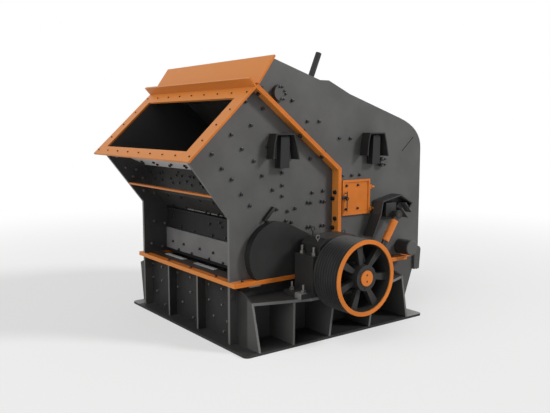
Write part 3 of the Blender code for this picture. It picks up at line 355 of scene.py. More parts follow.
def hinge_end(nodes, place):
    """The rear end of the lower side plates."""
    return along_machine(nodes, place, Y_AXIS).past(PEDESTAL_REAR)


def in_bays(nodes, place):
    """Lower part of the side plates, between the ribs of the pedestals."""
    return sideways(nodes, place) * (1.0 - along_machine(nodes, place, Z_AXIS).past(BAY_TOP))


def post_face(nodes, place):
    """Outer faces of a hooded bracket, away from its back plate."""
    x = along_machine(nodes, place, X_AXIS)
    return sideways(nodes, place) * (x * x).past(POST_FOOT ** 2, 0.02)


def back_plate(nodes, place):
    """Outer face of the back plate of a hooded bracket."""
    return sideways(nodes, place) * (1.0 - post_face(nodes, place))


def cap_screws(nodes, place):
    """Two sunk screws in the hub cap."""
    spots = []
    for y, z in HUB_CAP_SCREWS:
        offset = vectors(nodes, "SUBTRACT", place, tuple(at(0, y, z)))
        reach = vectors(nodes, "LENGTH", vectors(nodes, "MULTIPLY", offset, (0, 1, 1)), output="Value")
        spots.append(1.0 - reach.past(SCREW_RADIUS, 0.00075))
    return (spots[0] + spots[1]).clamped()


def below_ledge(nodes, place):
    """The upright part of the front wall, under its ledge."""
    return 1.0 - along_machine(nodes, place, Z_AXIS).past(LEDGE_LOW, 0.005)


def down_cylinder(nodes, place):
    """Distance of a place below the upper pin, along a lift cylinder."""
    return place_along(nodes, place, at(0, *LIFT_PIVOT), CYLINDER_STEP)


def below_barrel(nodes, place):
    """The guide tube of a lift cylinder."""
    return down_cylinder(nodes, place).past(BARREL_END, 0.002)


def cylinder_eye(nodes, place):
    """The eye at the top of a lift cylinder."""
    return 1.0 - down_cylinder(nodes, place).past(EYE_END, 0.0075)


def toned(colour, factor):
    """A colour made darker or lighter."""
    return tuple(c * factor for c in colour)


def new_material(name):
    """An empty material with its shader, as the start of its signals."""
    material = bpy.data.materials.new(name)
    material.use_nodes = True
    tree = material.node_tree
    shader = tree.nodes["Principled BSDF"]
    nodes = Signal(tree)
    place = nodes.node("ShaderNodeTexCoord", {}, output="Object")
    return material, nodes, shader, place


def surface(nodes, shader, colour, roughness, bump):
    """Colour, roughness and bumps of a material."""
    nodes.feed(shader.inputs["Base Color"], colour)
    nodes.feed(shader.inputs["Roughness"], roughness)
    nodes.feed(shader.inputs["Normal"], nodes.node("ShaderNodeBump", bump))


DUST = (0.23, 0.21, 0.19)
RUST = (0.20, 0.085, 0.035)


def paint(name, colour, roughness=0.42, metallic=0.0, dust=0.25, wear=0.25, peel=0.08, shine=0.5, zones=()):
    """Sprayed paint: fine orange peel, faint clouds, dust in the corners and lighter worn edges.

    A zone is a second colour, and the function that says where it lies on a piece.
    """
    material, nodes, shader, place = new_material(name)
    clouds = noise(nodes, place, 2.3, 4.0)
    specks = noise(nodes, place, 42.0, 2.0)
    grain = noise(nodes, place, 240.0, 1.0)
    deep = toned(colour, 0.86)
    light = tuple(min(1.0, c * 1.12 + 0.004) for c in colour)
    base = clouds.between(0.3, 0.7).mix(deep, light)
    for second, where in zones:
        base = where(nodes, place).mix(base, second)
    dusty = (corner_mask(nodes, 0.12) * clouds.between(0.35, 0.75) * dust).clamped()
    base = dusty.mix(base, DUST)
    worn = (edge_mask(nodes, 0.004) * specks.between(0.40, 0.62) * wear).clamped()
    base = worn.mix(base, tuple(0.55 * c + 0.16 for c in colour))
    shader.inputs["Metallic"].default_value = metallic
    shader.inputs["Specular IOR Level"].default_value = shine
    rounded = nodes.node("ShaderNodeBevel", {"Radius": 0.003}, samples=4)
    surface(nodes, shader, base, roughness + (specks - 0.5) * 0.10 + dusty * 0.3 - worn * 0.08,
            {"Strength": peel, "Distance": 0.001, "Height": grain, "Normal": rounded})
    return material


def bare_steel(name, colour, roughness=0.32, rust=0.15):
    """Machined steel with fine scratches and a little rust."""
    material, nodes, shader, place = new_material(name)
    streaks = nodes.node("ShaderNodeMapping", {"Vector": place, "Scale": (1.0, 30.0, 30.0)})
    scratches = noise(nodes, streaks, 22.0, 4.0)
    patches = noise(nodes, place, 9.0, 5.0)
    base = scratches.between(0.3, 0.7).mix(toned(colour, 0.8), colour)
    rusty = (patches.between(0.55, 0.75) * rust).clamped()
    nodes.feed(shader.inputs["Metallic"], 0.95 - rusty * 0.8)
    surface(nodes, shader, rusty.mix(base, RUST), roughness + scratches * 0.18 + rusty * 0.3,
            {"Strength": 0.08, "Distance": 0.0006, "Height": scratches})
    return material


def worn_liner(name, colour):
    """Cast liner and blow bar steel, dented and polished by stone."""
    material, nodes, shader, place = new_material(name)
    dents = nodes.node("ShaderNodeTexVoronoi", {"Vector": place, "Scale": 26.0}, output="Distance")
    clouds = noise(nodes, place, 5.0, 5.0)
    base = clouds.between(0.3, 0.7).mix(toned(colour, 0.7), colour)
    shader.inputs["Metallic"].default_value = 0.4
    surface(nodes, shader, base, 0.5 + (clouds - 0.5) * 0.3,
            {"Strength": 0.35, "Distance": 0.003, "Height": dents * 0.6 + clouds * 0.6})
    return material


FINISHES = {}
INSIDE = (0.019, 0.0193, 0.0195)
# painted shade for the top of the flange under the front wall
FLANGE_SHADE = (0.030, 0.021, 0.016)
FRONT_LIT_ORANGE = (0.575, 0.198, 0.036)  # painted light: a lighter orange on the faces that look to the front, standing in for the light that falls on them from the front
NUT_STEEL = (0.20, 0.192, 0.18)
PALE = (0.36, 0.37, 0.38)
CAST = (0.10, 0.097, 0.092)
UNDERSIDE = (0.62, 0.62, 0.62)  # pale lower face of the feed floor


def make_finishes(paints):
    """Every finish, from the colours of the panel."""
    charcoal, black, dark, rim = paints.charcoal, paints.black, paints.dark, paints.rim
    dull = {"roughness": 0.5, "dust": 0.06, "wear": 0.12, "shine": 0.16}
    glossy = {"dust": 0.10, "wear": 0.2, "shine": 0.2}
    # painted shade: darker tops for the casing and the lift bracket
    shaded_tops = ((toned(dark, 0.4), upward),)
    FINISHES.update(
        charcoal=paint("charcoal_paint", charcoal, shine=0.35),
        # painted shade: the side plates and the shell are darker on the faces inside the crushing chamber
        side=paint("side_plate_paint", charcoal, shine=0.35, dust=0.15,
                   zones=((rim, edgeways), (toned(INSIDE, 1.7), inward))),
        shell=paint("shell_paint", charcoal, shine=0.3, dust=0.15, zones=((INSIDE, inward),)),
        drum=paint("drum_paint", dark, shine=0.3, zones=((charcoal, sideways),)),
        black=paint("black_paint", black, **dull),
        dark=paint("dark_grey_paint", dark, **dull),
        # painted shade: the front wall is darker below its ledge, under the overhang of the inlet
        front=paint("front_wall_paint", dark, **dull, zones=((toned(INSIDE, 0.65), below_ledge),)),
        # painted light: the base plate's top is lighter at its ends, out from under the machine
        base=paint("base_plate_paint", dark, **dull, zones=((toned(rim, 2.0), lit_plate_ends),)),
        casing=paint("casing_paint", toned(dark, 0.7), **dull, zones=shaded_tops),
        lift=paint("lift_bracket_paint", toned(dark, 1.6), **dull, zones=shaded_tops),
        # painted shadow: the outer faces of the post under the hood are darker
        hood=paint("bracket_paint", toned(dark, 0.7), **dull,
                   zones=((INSIDE, post_face), (charcoal, back_plate))),
        lower=paint("lower_side_paint", toned(black, 1.6), **dull,
                    zones=((toned(charcoal, 0.8), in_bays), (charcoal, hinge_end), (rim, edgeways))),
        wall=paint("ribbed_wall_paint", toned(black, 0.8), **dull, zones=((rim, rib_tips),)),
        pedestal=paint("pedestal_paint", black, **dull,
                       zones=((rim, sideways), (charcoal, rib_faces),
                              (toned(charcoal, 1.08), gusset_tips))),
        # painted light: the orange finishes are lighter on the faces that look to the front
        orange=paint("orange_paint", paints.orange, **glossy, zones=((FRONT_LIT_ORANGE, forward),)),
        # painted shade: the flange top under the front wall is darkened
        flange=paint("flange_paint", paints.orange, **glossy, zones=((FRONT_LIT_ORANGE, forward), (FLANGE_SHADE, shaded_flange_top))),
        barrel=paint("barrel_paint", paints.orange, roughness=0.36, dust=0.10, wear=0.2, shine=0.25,
                     zones=((dark, below_barrel), (dark, cylinder_eye))),
        cap=paint("hub_cap_paint", paints.orange, roughness=0.38, dust=0.05, wear=0.2, shine=0.25,
                  zones=((INSIDE, cap_screws),)),
        grey=paint("grey_plate_paint", paints.grey, roughness=0.5),
        floor=paint("feed_floor_paint", INSIDE, roughness=0.5, zones=((UNDERSIDE, downward),)),
        nut=bare_steel("nut_steel", NUT_STEEL, roughness=0.38),
        bolt=paint("bolt_black", paints.bolt, roughness=0.36, metallic=0.6, dust=0.1, wear=0.5),
        steel=bare_steel("bare_steel", paints.steel),
        pale=paint("pale_plate", PALE, roughness=0.45, metallic=0.3),
        liner=worn_liner("cast_liner", CAST),
    )


NODE_FINISHES = {
    "side": ("front_side", "rear_side"),
    "shell": ("rear_shell",),
    "drum": ("apron_boss", "pivot_drum"),
    "black": ("bearing",),
    "front": ("upper_front_wall",),
    "casing": ("side_casing",),
    "lift": ("lift_bracket",),
    "hood": ("hooded_bracket",),
    "cap": ("hub_cap",),
    "dark": ("roof_rod", "pulley"),
    "base": ("base_plate",),
    "lower": ("lower_side",),
    "wall": ("lower_front_wall", "lower_rear_wall"),
    "pedestal": ("pedestal",),
    "flange": ("front_base_flange",),
    "orange": ("lower_flange", "rear_base_flange", "chute_tie_bar", "feed_frame",
               "front_split_flange", "rear_split_flange", "hood_panel", "pulley_rim_ring", "door"),
    "barrel": ("lift_barrel",),
    "grey": ("front_cover_plate",),
    "floor": ("feed_floor",),
    "steel": ("rotor_shaft", "lift_rod"),
    "liner": ("impact_apron", "rotor_body"),
}


def finish_of(node):
    """The finish whose longest prefix fits a node's name."""
    fits = [(len(p), key) for key, prefixes in NODE_FINISHES.items() for p in prefixes if node.startswith(p)]
    return max(fits)[1]


SMOOTH_ANGLE = math.radians(35.0)


def piece(name, bm, body, finish):
    """A finished piece from a mesh in the making, which moves with a body."""
    bmesh.ops.recalc_face_normals(bm, faces=bm.faces)
    mesh = bpy.data.meshes.new(name)
    bm.to_mesh(mesh)
    bm.free()
    mesh.shade_smooth()
    mesh.set_sharp_from_angle(angle=SMOOTH_ANGLE)
    mesh.materials.append(FINISHES[finish])
    obj = bpy.data.objects.new(name, mesh)
    bpy.context.scene.collection.objects.link(obj)
    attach(obj, body)


def pointing(out):
    """The turn that points z along a direction."""
    return Vector(Z_AXIS).rotation_difference(Vector(out)).to_matrix().to_4x4()


def extruded(bm, face):
    """The new end of a face that is drawn out. The old one stays only where it closes the foot."""
    grown = bmesh.ops.extrude_face_region(bm, geom=[face, *face.edges])["geom"]
    return next(g for g in grown if isinstance(g, bmesh.types.BMFace))


def disc_up(bm, sides, radius, low, height, chamfer=0.0):
    """A round or six-sided block that stands on a level, with a chamfered top."""
    made = bmesh.ops.create_circle(bm, cap_ends=True, segments=sides, radius=radius,
                                   matrix=Matrix.Translation((0, 0, low)))
    top = extruded(bm, made["verts"][0].link_faces[0])
    bmesh.ops.translate(bm, verts=top.verts, vec=(0, 0, height))
    if chamfer:
        bmesh.ops.inset_region(bm, faces=[top], thickness=chamfer, depth=0.0, use_even_offset=True)
        bmesh.ops.translate(bm, verts=top.verts, vec=(0, 0, chamfer * CHAMFER_RISE))
    return bm


CHAMFER_RISE = 0.6

# Shape of a bolt, as shares of its width across the flats
WASHER_RADIUS = 0.64
WASHER = 0.10
CORNER_RADIUS = 0.577
HEAD = 0.52
HEAD_CHAMFER = 0.07
STUD_RADIUS = 0.30
STUD_CHAMFER = 0.05
STUD_END = 0.3  # length of a stud past the nut of a flange bolt

TURN_STEP = 0.7  # each bolt stands turned by this angle from the one before it


def hex_bolt(width, stud=0.0):
    """A bolt head or a nut on its washer, standing on z = 0. A stud ends above a nut."""
    bm = bmesh.new()
    disc_up(bm, 14, width * WASHER_RADIUS, 0.0, width * WASHER)
    disc_up(bm, 6, width * CORNER_RADIUS, width * WASHER, width * HEAD, chamfer=width * HEAD_CHAMFER)
    if stud:
        disc_up(bm, 10, width * STUD_RADIUS, width * (WASHER + HEAD), stud, chamfer=width * STUD_CHAMFER)
    return bm


def spread(pattern, places):
    """Copies of a pattern, each with its foot at a place and its z along a direction."""
    mould = bpy.data.meshes.new("mould")
    pattern.to_mesh(mould)
    pattern.free()
    bm = bmesh.new()
    for i, (place, out) in enumerate(places):
        before = len(bm.verts)
        bm.from_mesh(mould)
        bm.verts.ensure_lookup_table()
        matrix = Matrix.Translation(place) @ pointing(out) @ Matrix.Rotation(i * TURN_STEP, 4, "Z")
        bmesh.ops.transform(bm, matrix=matrix, verts=bm.verts[before:])
    bpy.data.meshes.remove(mould)
    return bm


def bolts(name, width, places, body, finish="bolt", stud=0.0):
    """Like bolts or nuts, as one piece."""
    piece(name, spread(hex_bolt(width, stud), places), body, finish)


def facing(places, out):
    """Places that all face one way."""
    return [(place, out) for place in places]


def beside(side, x, spots):
    """Places given by y and z on an upright face at x, which face outwards."""
    return facing([at(side * x, y, z) for y, z in spots], (side, 0, 0))


def slab(bm, centre, size, turn=None, bevel=0.0):
    """A block of a size at a place, turned by a matrix, with its edges bevelled."""
    matrix = Matrix.Translation(centre) @ (turn or Matrix()) @ Matrix.Diagonal((*size, 1))
    made = bmesh.ops.create_cube(bm, size=1.0, matrix=matrix)
    if bevel:
        edges = {edge for vert in made["verts"] for edge in vert.link_edges}
        bmesh.ops.bevel(bm, geom=list(edges), offset=bevel, affect="EDGES", segments=2, profile=0.5,
                        material=-1)
    return bm


def ring(bm, centre, major, minor):
    """A round bar bent to a ring that stands in the side view."""
    upright = Matrix.Translation((major, 0, 0)) @ Matrix.Rotation(math.pi / 2, 4, "X")
    before = set(bm.verts)
    made = bmesh.ops.create_circle(bm, segments=10, radius=minor, matrix=upright)
    edges = list({edge for vert in made["verts"] for edge in vert.link_edges})
    bmesh.ops.spin(bm, geom=made["verts"] + edges, cent=(0, 0, 0), axis=(0, 0, 1), angle=math.tau,
                   steps=24, use_merge=True)
    verts = [vert for vert in bm.verts if vert not in before]
    bmesh.ops.transform(bm, matrix=Matrix.Translation(centre) @ Matrix.Rotation(math.pi / 2, 4, "Y"),
                        verts=verts)


def ring_plate(bm, centre, hole, radius, thickness, out, segments=40):
    """A flat ring or disc that stands out to the right or the left."""
    before = set(bm.verts)
    profile = [(hole, 0.0), (radius, 0.0), (radius, thickness * 0.75), (radius - thickness * 0.25, thickness),
               (hole, thickness)]
    verts = [bm.verts.new((r, 0, z)) for r, z in profile]
    pairs = list(zip(verts, verts[1:]))
    if hole:
        pairs.append((verts[-1], verts[0]))
    edges = [bm.edges.new(pair) for pair in pairs]
    bmesh.ops.spin(bm, geom=verts + edges, cent=(0, 0, 0), axis=(0, 0, 1), angle=math.tau, steps=segments,
                   use_merge=True)
    bmesh.ops.remove_doubles(bm, verts=[vert for vert in bm.verts if vert not in before], dist=1e-5)
    made = [vert for vert in bm.verts if vert not in before]
    matrix = Matrix.Translation(centre) @ Matrix.Rotation(math.pi / 2 * out, 4, "Y")
    bmesh.ops.transform(bm, matrix=matrix, verts=made)


def bar(bm, start, end, radius, sides=14, chamfer=0.0):
    """A round bar between two places."""
    before = set(bm.verts)
    disc_up(bm, sides, radius, 0.0, (end - start).length - chamfer * CHAMFER_RISE, chamfer=chamfer)
    verts = [vert for vert in bm.verts if vert not in before]
    bmesh.ops.transform(bm, matrix=Matrix.Translation(start) @ pointing(end - start), verts=verts)
    return bm


RIPPLE = 0.022  # from one pass of the torch to the next
NARROW = 0.82  # width of a weld bead between two passes, against its full width
BEAD_SIDES = 6


def bead(bm, start, end, radius):
    """A straight weld bead, its width rising and falling with each pass of the torch."""
    step = (end - start).normalized()
    side = step.orthogonal().normalized()
    length = (end - start).length
    count = max(2, int(length / RIPPLE))
    run = Matrix.Translation((0, 0, length / count))
    place = Matrix.Translation(start) @ Matrix((side.cross(step), side, step)).transposed().to_4x4()
    made = bmesh.ops.create_circle(bm, cap_ends=True, segments=BEAD_SIDES, radius=radius * NARROW,
                                   matrix=place)
    face = made["verts"][0].link_faces[0]
    for i in range(count):
        face = extruded(bm, face)
        wide = NARROW if i % 2 else 1 / NARROW
        bmesh.ops.transform(bm, matrix=run @ Matrix.Diagonal((wide, wide, 1, 1)),
                            space=place.inverted(), verts=face.verts)
        place = place @ run
    return bm


# Liner bolts of the side plates, y and z
FRONT_LINER_BOLTS = (
    (0.27, 2.42), (0.47, 2.35), (0.33, 2.19), (0.10, 2.10), (0.22, 1.96), (-0.12, 1.92), (0.52, 1.98),
    (0.36, 1.84), (-0.01, 1.78), (0.46, 1.69), (0.71, 1.71), (0.10, 1.67), (0.71, 1.58), (0.59, 1.54),
    (0.21, 1.52), (0.71, 1.47), (0.31, 1.40), (0.64, 1.34), (0.78, 1.31), (0.88, 1.33), (0.52, 1.23),
    (0.76, 1.21), (0.83, 1.19), (1.08, 1.84), (1.11, 1.48), (1.26, 1.49), (1.05, 1.38), (1.09, 1.375),
    (1.24, 1.38), (1.28, 1.375), (1.05, 1.12), (1.09, 1.12), (1.24, 1.12), (1.28, 1.12),
)
REAR_LINER_BOLTS = (
    (0.84, 2.44), (1.04, 2.23), (1.20, 2.23), (1.49, 2.05), (1.65, 2.045), (1.54, 1.64), (1.68, 1.64),
    (1.80, 1.64),
)


class PlateBolts(bpy.types.Operator):
    """Liner bolts of the four side plates"""

    bl_idname = "crusher.plate_bolts"
    bl_label = "Side plate bolts"

    def execute(self, context):
        width = context.scene.crusher_sizes.plate_bolt
        for side, name in NAMES.items():
            bolts("front_liner_bolts_" + name, width, beside(side, SIDE, FRONT_LINER_BOLTS), "frame")
            bolts("rear_liner_bolts_" + name, width, beside(side, SIDE, REAR_LINER_BOLTS), "housing")
        return {"FINISHED"}


SPLIT_SLOPE = math.radians(-38.0)
SPLIT_STEP = unit(math.cos(SPLIT_SLOPE), math.sin(SPLIT_SLOPE))
SPLIT_FACE = unit(SPLIT_STEP.z, -SPLIT_STEP.y)  # out of the lower face of the front strip
STRIP_THICKNESS = 0.022
SPLIT_KNEE = Vector((0, 1.418, 1.722)) + SPLIT_FACE * (STRIP_THICKNESS + SEAT_GAP)
SPLIT_BOLTS = ((0.38, 2.49), (0.91, 2.08), (1.20, 1.86))  # y and z on that face
SPLIT_BOLT_X = 1.015
SPLIT_UPRIGHT_BOLTS = ((1.018, 1.471), (0.985, 1.403), (1.020, 1.188), (0.985, 1.085))  # x and z
SPLIT_FRONT_Y = 1.3957
SPLIT_REAR_Y = 1.4403


class SplitBolts(bpy.types.Operator):
    """Bolts through the flange strips beside the split, with their nuts behind"""

    bl_idname = "crusher.split_bolts"
    bl_label = "Split flange bolts"

    def execute(self, context):
        width = context.scene.crusher_sizes.split_bolt
        for side, name in NAMES.items():
            heads, nuts = [], []
            for y, z in SPLIT_BOLTS:
                face = self.on_slope(y, z)
                heads.append((at(side * SPLIT_BOLT_X, face.y, face.z), SPLIT_FACE))
                back = face - SPLIT_FACE * (STRIP_THICKNESS + SEAT_GAP) * 2
                nuts.append((at(side * SPLIT_BOLT_X, back.y, back.z), -SPLIT_FACE))
            for x, z in SPLIT_UPRIGHT_BOLTS:
                heads.append((at(side * x, SPLIT_FRONT_Y, z), (0, -1, 0)))
                nuts.append((at(side * x, SPLIT_REAR_Y, z), (0, 1, 0)))
            bolts("split_bolts_" + name, width, heads, "frame")
            bolts("split_nuts_" + name, width, nuts, "housing", stud=width * STUD_END)
        return {"FINISHED"}

    def on_slope(self, y, z):
        """The nearest place on the lower face of the sloping front strip."""
        place = Vector((0, y, z))
        return place - SPLIT_FACE * (place - SPLIT_KNEE).dot(SPLIT_FACE)


FRAME_SLOPE = math.radians(43.14)
FRAME_FOOT = Vector((0, -0.457, 1.866))
FRAME_STEP = unit(math.cos(FRAME_SLOPE), math.sin(FRAME_SLOPE))
FRAME_FACE = Vector((0, -FRAME_STEP.z, FRAME_STEP.y))
FRAME_BOLT_REACH = 1.06  # outermost bolts, from the middle
FRAME_BOLT_ROWS = (0.062, 0.93)  # along the slope, from the foot of the frame
FRAME_BOLT_COUNT = 9
FRAME_SIDE_BOLTS = (0.27, 0.48, 0.69)
FRAME_SIDE_X = 1.035


class FrameBolts(bpy.types.Operator):
    """Bolts round the face of the feed frame"""

    bl_idname = "crusher.frame_bolts"
    bl_label = "Feed frame bolts"

    def execute(self, context):
        width = context.scene.crusher_sizes.frame_bolt
        columns = [FRAME_BOLT_REACH * (2 * i / (FRAME_BOLT_COUNT - 1) - 1) for i in range(FRAME_BOLT_COUNT)]
        spots = [(x, along) for along in FRAME_BOLT_ROWS for x in columns]
        spots += [(side * FRAME_SIDE_X, along) for along in FRAME_SIDE_BOLTS for side in NAMES]
        places = [at(x, *(FRAME_FOOT + FRAME_STEP * along).yz) for x, along in spots]
        bolts("feed_frame_bolts", width, facing(places, FRAME_FACE), "frame")
        return {"FINISHED"}


# Walls below the feed inlet: an upright wall, a ledge, and a wall that leans out from a shoulder above it
WALL_Y = 0.39
COVER_Y = 0.3677
CHEEK_X = SIDE - PLATE_THICKNESS  # inner face of the side plates
SHOULDER = Vector((0, 0.215, 1.40))
LEAN_TOP = Vector((0, 0.11, 1.72))
WALL_STEP = (LEAN_TOP - SHOULDER).normalized()
WALL_FACE = Vector((0, -WALL_STEP.z, WALL_STEP.y))
KNEE_FACE = unit(-0.20, -0.175)
KNEE_PLACE = (0.2378, 1.38)
LEDGE_FACE = unit(-0.7, -0.6)
LEDGE_PLACE = (0.3443, 1.24)
FLOOR_BOLT = 1.1  # width of the bolts of the feed floor, as a share
UPPER_WALL_BOLTS = ((-0.84, 0.24), (-0.60, 0.25), (-0.53, 0.26), (-0.60, 0.17), (-0.37, 0.20), (-0.36, 0.15),
                    (-0.21, 0.25), (-0.20, 0.16), (-0.09, 0.25), (-0.15, 0.29), (0.09, 0.25), (-0.02, 0.19),
                    (0.07, 0.15), (0.17, 0.25), (0.27, 0.19), (0.31, 0.15), (0.52, 0.24), (0.55, 0.16),
                    (0.75, 0.25), (0.77, 0.17), (-0.78, 0.17))  # x and distance above the shoulder
KNEE_BOLTS_X = (-0.61, -0.30, 0.13, 0.40, 0.72)
LEDGE_BOLTS_X = (-0.69, -0.37, 0.075, 0.33, 0.64)
LOW_WALL_BOLTS = ((-0.58, 0.99), (-0.28, 0.98), (0.12, 0.98), (0.40, 0.99), (0.74, 0.99), (0.07, 1.10),
                  (0.28, 1.14), (0.32, 1.10), (-0.80, 1.10), (0.66, 1.12))
COVER_ROWS = ((0.796, (-0.755, -0.489, -0.116, 0.173, 0.50, 0.80)),
              (0.715, (-0.61, -0.30, 0.087, 0.375, 0.70)))  # height, and x of its bolts
CHEEK_BOLTS = ((-0.256, 1.828), (-0.149, 1.698), (-0.019, 1.669), (-0.059, 1.589), (0.067, 1.566),
               (0.076, 1.417), (0.21, 1.379), (0.203, 1.036), (0.345, 0.998), (0.163, 0.767), (0.308, 0.714))
FLOOR_PLACE = Vector((0, -0.007, 1.773))  # on the underside of the feed floor
FLOOR_FACE = unit(-0.41, -0.91)
FLOOR_ROWS = ((-0.018, (-0.76, -0.455, -0.037, 0.257, 0.56, 0.80)),
              (0.035, (-0.83, -0.47, -0.17, 0.20, 0.52)))  # y, and x of its bolts
STRIP_ENDS_X = ((-0.393, -0.20), (-0.186, 0.135), (0.175, 0.397), (0.448, 0.60))
STRIP_PLACE = (0.352, 1.231)
STRIP_SECTION = (0.016, 0.012)


class FrontWallBolts(bpy.types.Operator):
    """Bolts on the walls below the feed inlet, and the strips along the ledge"""

    bl_idname = "crusher.front_wall_bolts"
    bl_label = "Front wall bolts"

    def execute(self, context):
        width = context.scene.crusher_sizes.wall_bolt
        cheeks = [(at(side * CHEEK_X, y, z), (-side, 0, 0)) for side in NAMES for y, z in CHEEK_BOLTS]
        bolts("cheek_bolts", width, cheeks, "frame", "nut")
        bm = bmesh.new()
        for start, end in STRIP_ENDS_X:
            slab(bm, at((start + end) / 2, *STRIP_PLACE), (end - start, *STRIP_SECTION), bevel=0.002)
        piece("ledge_strips", bm, "frame", "grey")
        places = [(at(x, *(SHOULDER + WALL_STEP * rise).yz), WALL_FACE) for x, rise in UPPER_WALL_BOLTS]
        places += facing([at(x, *KNEE_PLACE) for x in KNEE_BOLTS_X], KNEE_FACE)
        places += facing([at(x, *LEDGE_PLACE) for x in LEDGE_BOLTS_X], LEDGE_FACE)
        places += facing([at(x, WALL_Y, z) for x, z in LOW_WALL_BOLTS], (0, -1, 0))
        places += facing([at(x, COVER_Y, z) for z, columns in COVER_ROWS for x in columns], (0, -1, 0))
        bolts("front_wall_bolts", width, places, "frame")
        fall = FLOOR_FACE.y / -FLOOR_FACE.z
        floor = [at(x, y, FLOOR_PLACE.z + (y - FLOOR_PLACE.y) * fall) for y, columns in FLOOR_ROWS
                 for x in columns]
        bolts("feed_floor_bolts", width * FLOOR_BOLT, facing(floor, FLOOR_FACE), "frame")
        return {"FINISHED"}


PANEL_Y = 0.17
REAR_PANEL_Y = 2.40
PANEL_HEIGHTS = (0.52, 0.352)
PANEL_COLUMNS = (-0.90, -0.667, -0.283, 0.015, 0.413, 0.667)
REAR_PANEL_COLUMNS = (0.80, 0.52, 0.14, -0.14, -0.52, -0.80)
LOW_PANEL_BOLTS = ((-0.80, 0.20), (-0.169, 0.20), (0.508, 0.20), (0.77, 0.20), (-0.60, 0.075),
                   (0.071, 0.075), (0.70, 0.075))  # x and z


class PanelBolts(bpy.types.Operator):
    """Bolts in the bays of the lower frame, front and rear"""

    bl_idname = "crusher.panel_bolts"
    bl_label = "Lower frame bolts"

    def execute(self, context):
        front = [at(x, PANEL_Y, z) for z in PANEL_HEIGHTS for x in PANEL_COLUMNS]
        front += [at(x, PANEL_Y, z) for x, z in LOW_PANEL_BOLTS]
        rear = [at(x, REAR_PANEL_Y, z) for z in PANEL_HEIGHTS for x in REAR_PANEL_COLUMNS]
        places = facing(front, (0, -1, 0)) + facing(rear, (0, 1, 0))
        bolts("lower_frame_bolts", context.scene.crusher_sizes.small_bolt, places, "frame", "nut")
        return {"FINISHED"}


FLANGE_TOP = 0.6563
FLANGE_LOW = 0.612
FLANGE_BOLT_X = 1.018
FLANGE_FRONT_Y = (0.182, 0.451, 0.70, 0.95, 1.30)
FLANGE_REAR_Y = (1.55, 1.80, 2.05, 2.30)
FLANGE_CROSS_X = (-0.90, -0.36, 0.14, 0.66)
FLANGE_CROSS_Y = 0.10
SHIM_ENDS_X = ((-0.72, -0.28), (-0.04, 0.39))  # light strips on the flange
SHIM_Y = 0.262
SHIM_SECTION = (0.055, 0.008)
PAD_PLACE = (0.050, 0.31, 0.603)  # from the side plate, y and z
PAD_SIZE = (0.09, 0.14, 0.012)


class FlangeGear(bpy.types.Operator):
    """Bolts of the base flange, and the strips that lie on it"""

    bl_idname = "crusher.flange_gear"
    bl_label = "Base flange"

    def execute(self, context):
        width = context.scene.crusher_sizes.small_bolt
        fixed = self.along_sides(FLANGE_FRONT_Y, FLANGE_TOP)
        fixed += [at(x, FLANGE_CROSS_Y, FLANGE_TOP) for x in FLANGE_CROSS_X]
        tipping = self.along_sides(FLANGE_REAR_Y, FLANGE_TOP)
        feet = self.along_sides(FLANGE_FRONT_Y + FLANGE_REAR_Y, FLANGE_LOW)
        bolts("base_flange_bolts_front", width, facing(fixed, (0, 0, 1)), "frame")
        bolts("base_flange_bolts_rear", width, facing(tipping, (0, 0, 1)), "housing")
        bolts("base_flange_nuts", width, facing(feet, (0, 0, -1)), "frame", stud=width * STUD_END)
        bm = bmesh.new()
        for start, end in SHIM_ENDS_X:
            middle = at((start + end) / 2, SHIM_Y, FLANGE_TOP + SHIM_SECTION[1] / 2)
            slab(bm, middle, (end - start, *SHIM_SECTION), bevel=0.0015)
        piece("flange_strips", bm, "frame", "pale")
        bm = bmesh.new()
        for side in NAMES:
            slab(bm, at(side * (SIDE + PAD_PLACE[0]), *PAD_PLACE[1:]), PAD_SIZE, bevel=0.002)
        piece("flange_pads", bm, "frame", "grey")
        return {"FINISHED"}

    def along_sides(self, rows, height):
        """Places along both sides of the flange."""
        return [at(side * FLANGE_BOLT_X, y, height) for side in NAMES for y in rows]


BEARING_X = 1.2655
BEARING_BOLT_OFFSET = 0.09
SHAFT_Y = 1.117
SHAFT_Z = 0.71
SHOULDER_Z = 0.90
SHOULDER_BOLT_REACH = 0.305
FOOT_TOP = 0.5403
FOOT_BOLT_REACH = 0.435
STUD_LENGTH = 0.055
EYES = {"inner": ("dark", ((1.20, 0.932, 1.07, 1.142), (1.20, 1.352, 1.032, 1.066))),
        "outer": ("grey", ((1.33, 0.888, 1.038, 1.074),))}  # x, y, height of the foot and of the ring
EYE_RADIUS = 0.022
EYE_BAR = 0.005
EYE_STEM = 0.008
EYE_SUNK = 0.01  # length of the stem in its foot
EYE_GAP = 0.019  # from the end of the stem to the ring's middle
COVER_BOLT = 0.02
NUT_PAD = ((1.355, 0.657, 0.516), (0.10, 0.09, 0.063))  # middle and size of the pad under a foot nut
COVER_FACE = 1.1205
COVER_RADIUS = 0.165
COVER_HOLE = 0.118
COVER_THICKNESS = 0.016
COVER_BOLT_CIRCLE = 0.145
COVER_BOLTS = 6
END_CAP_FACE = 1.4105
END_CAP_THICKNESS = 0.0035


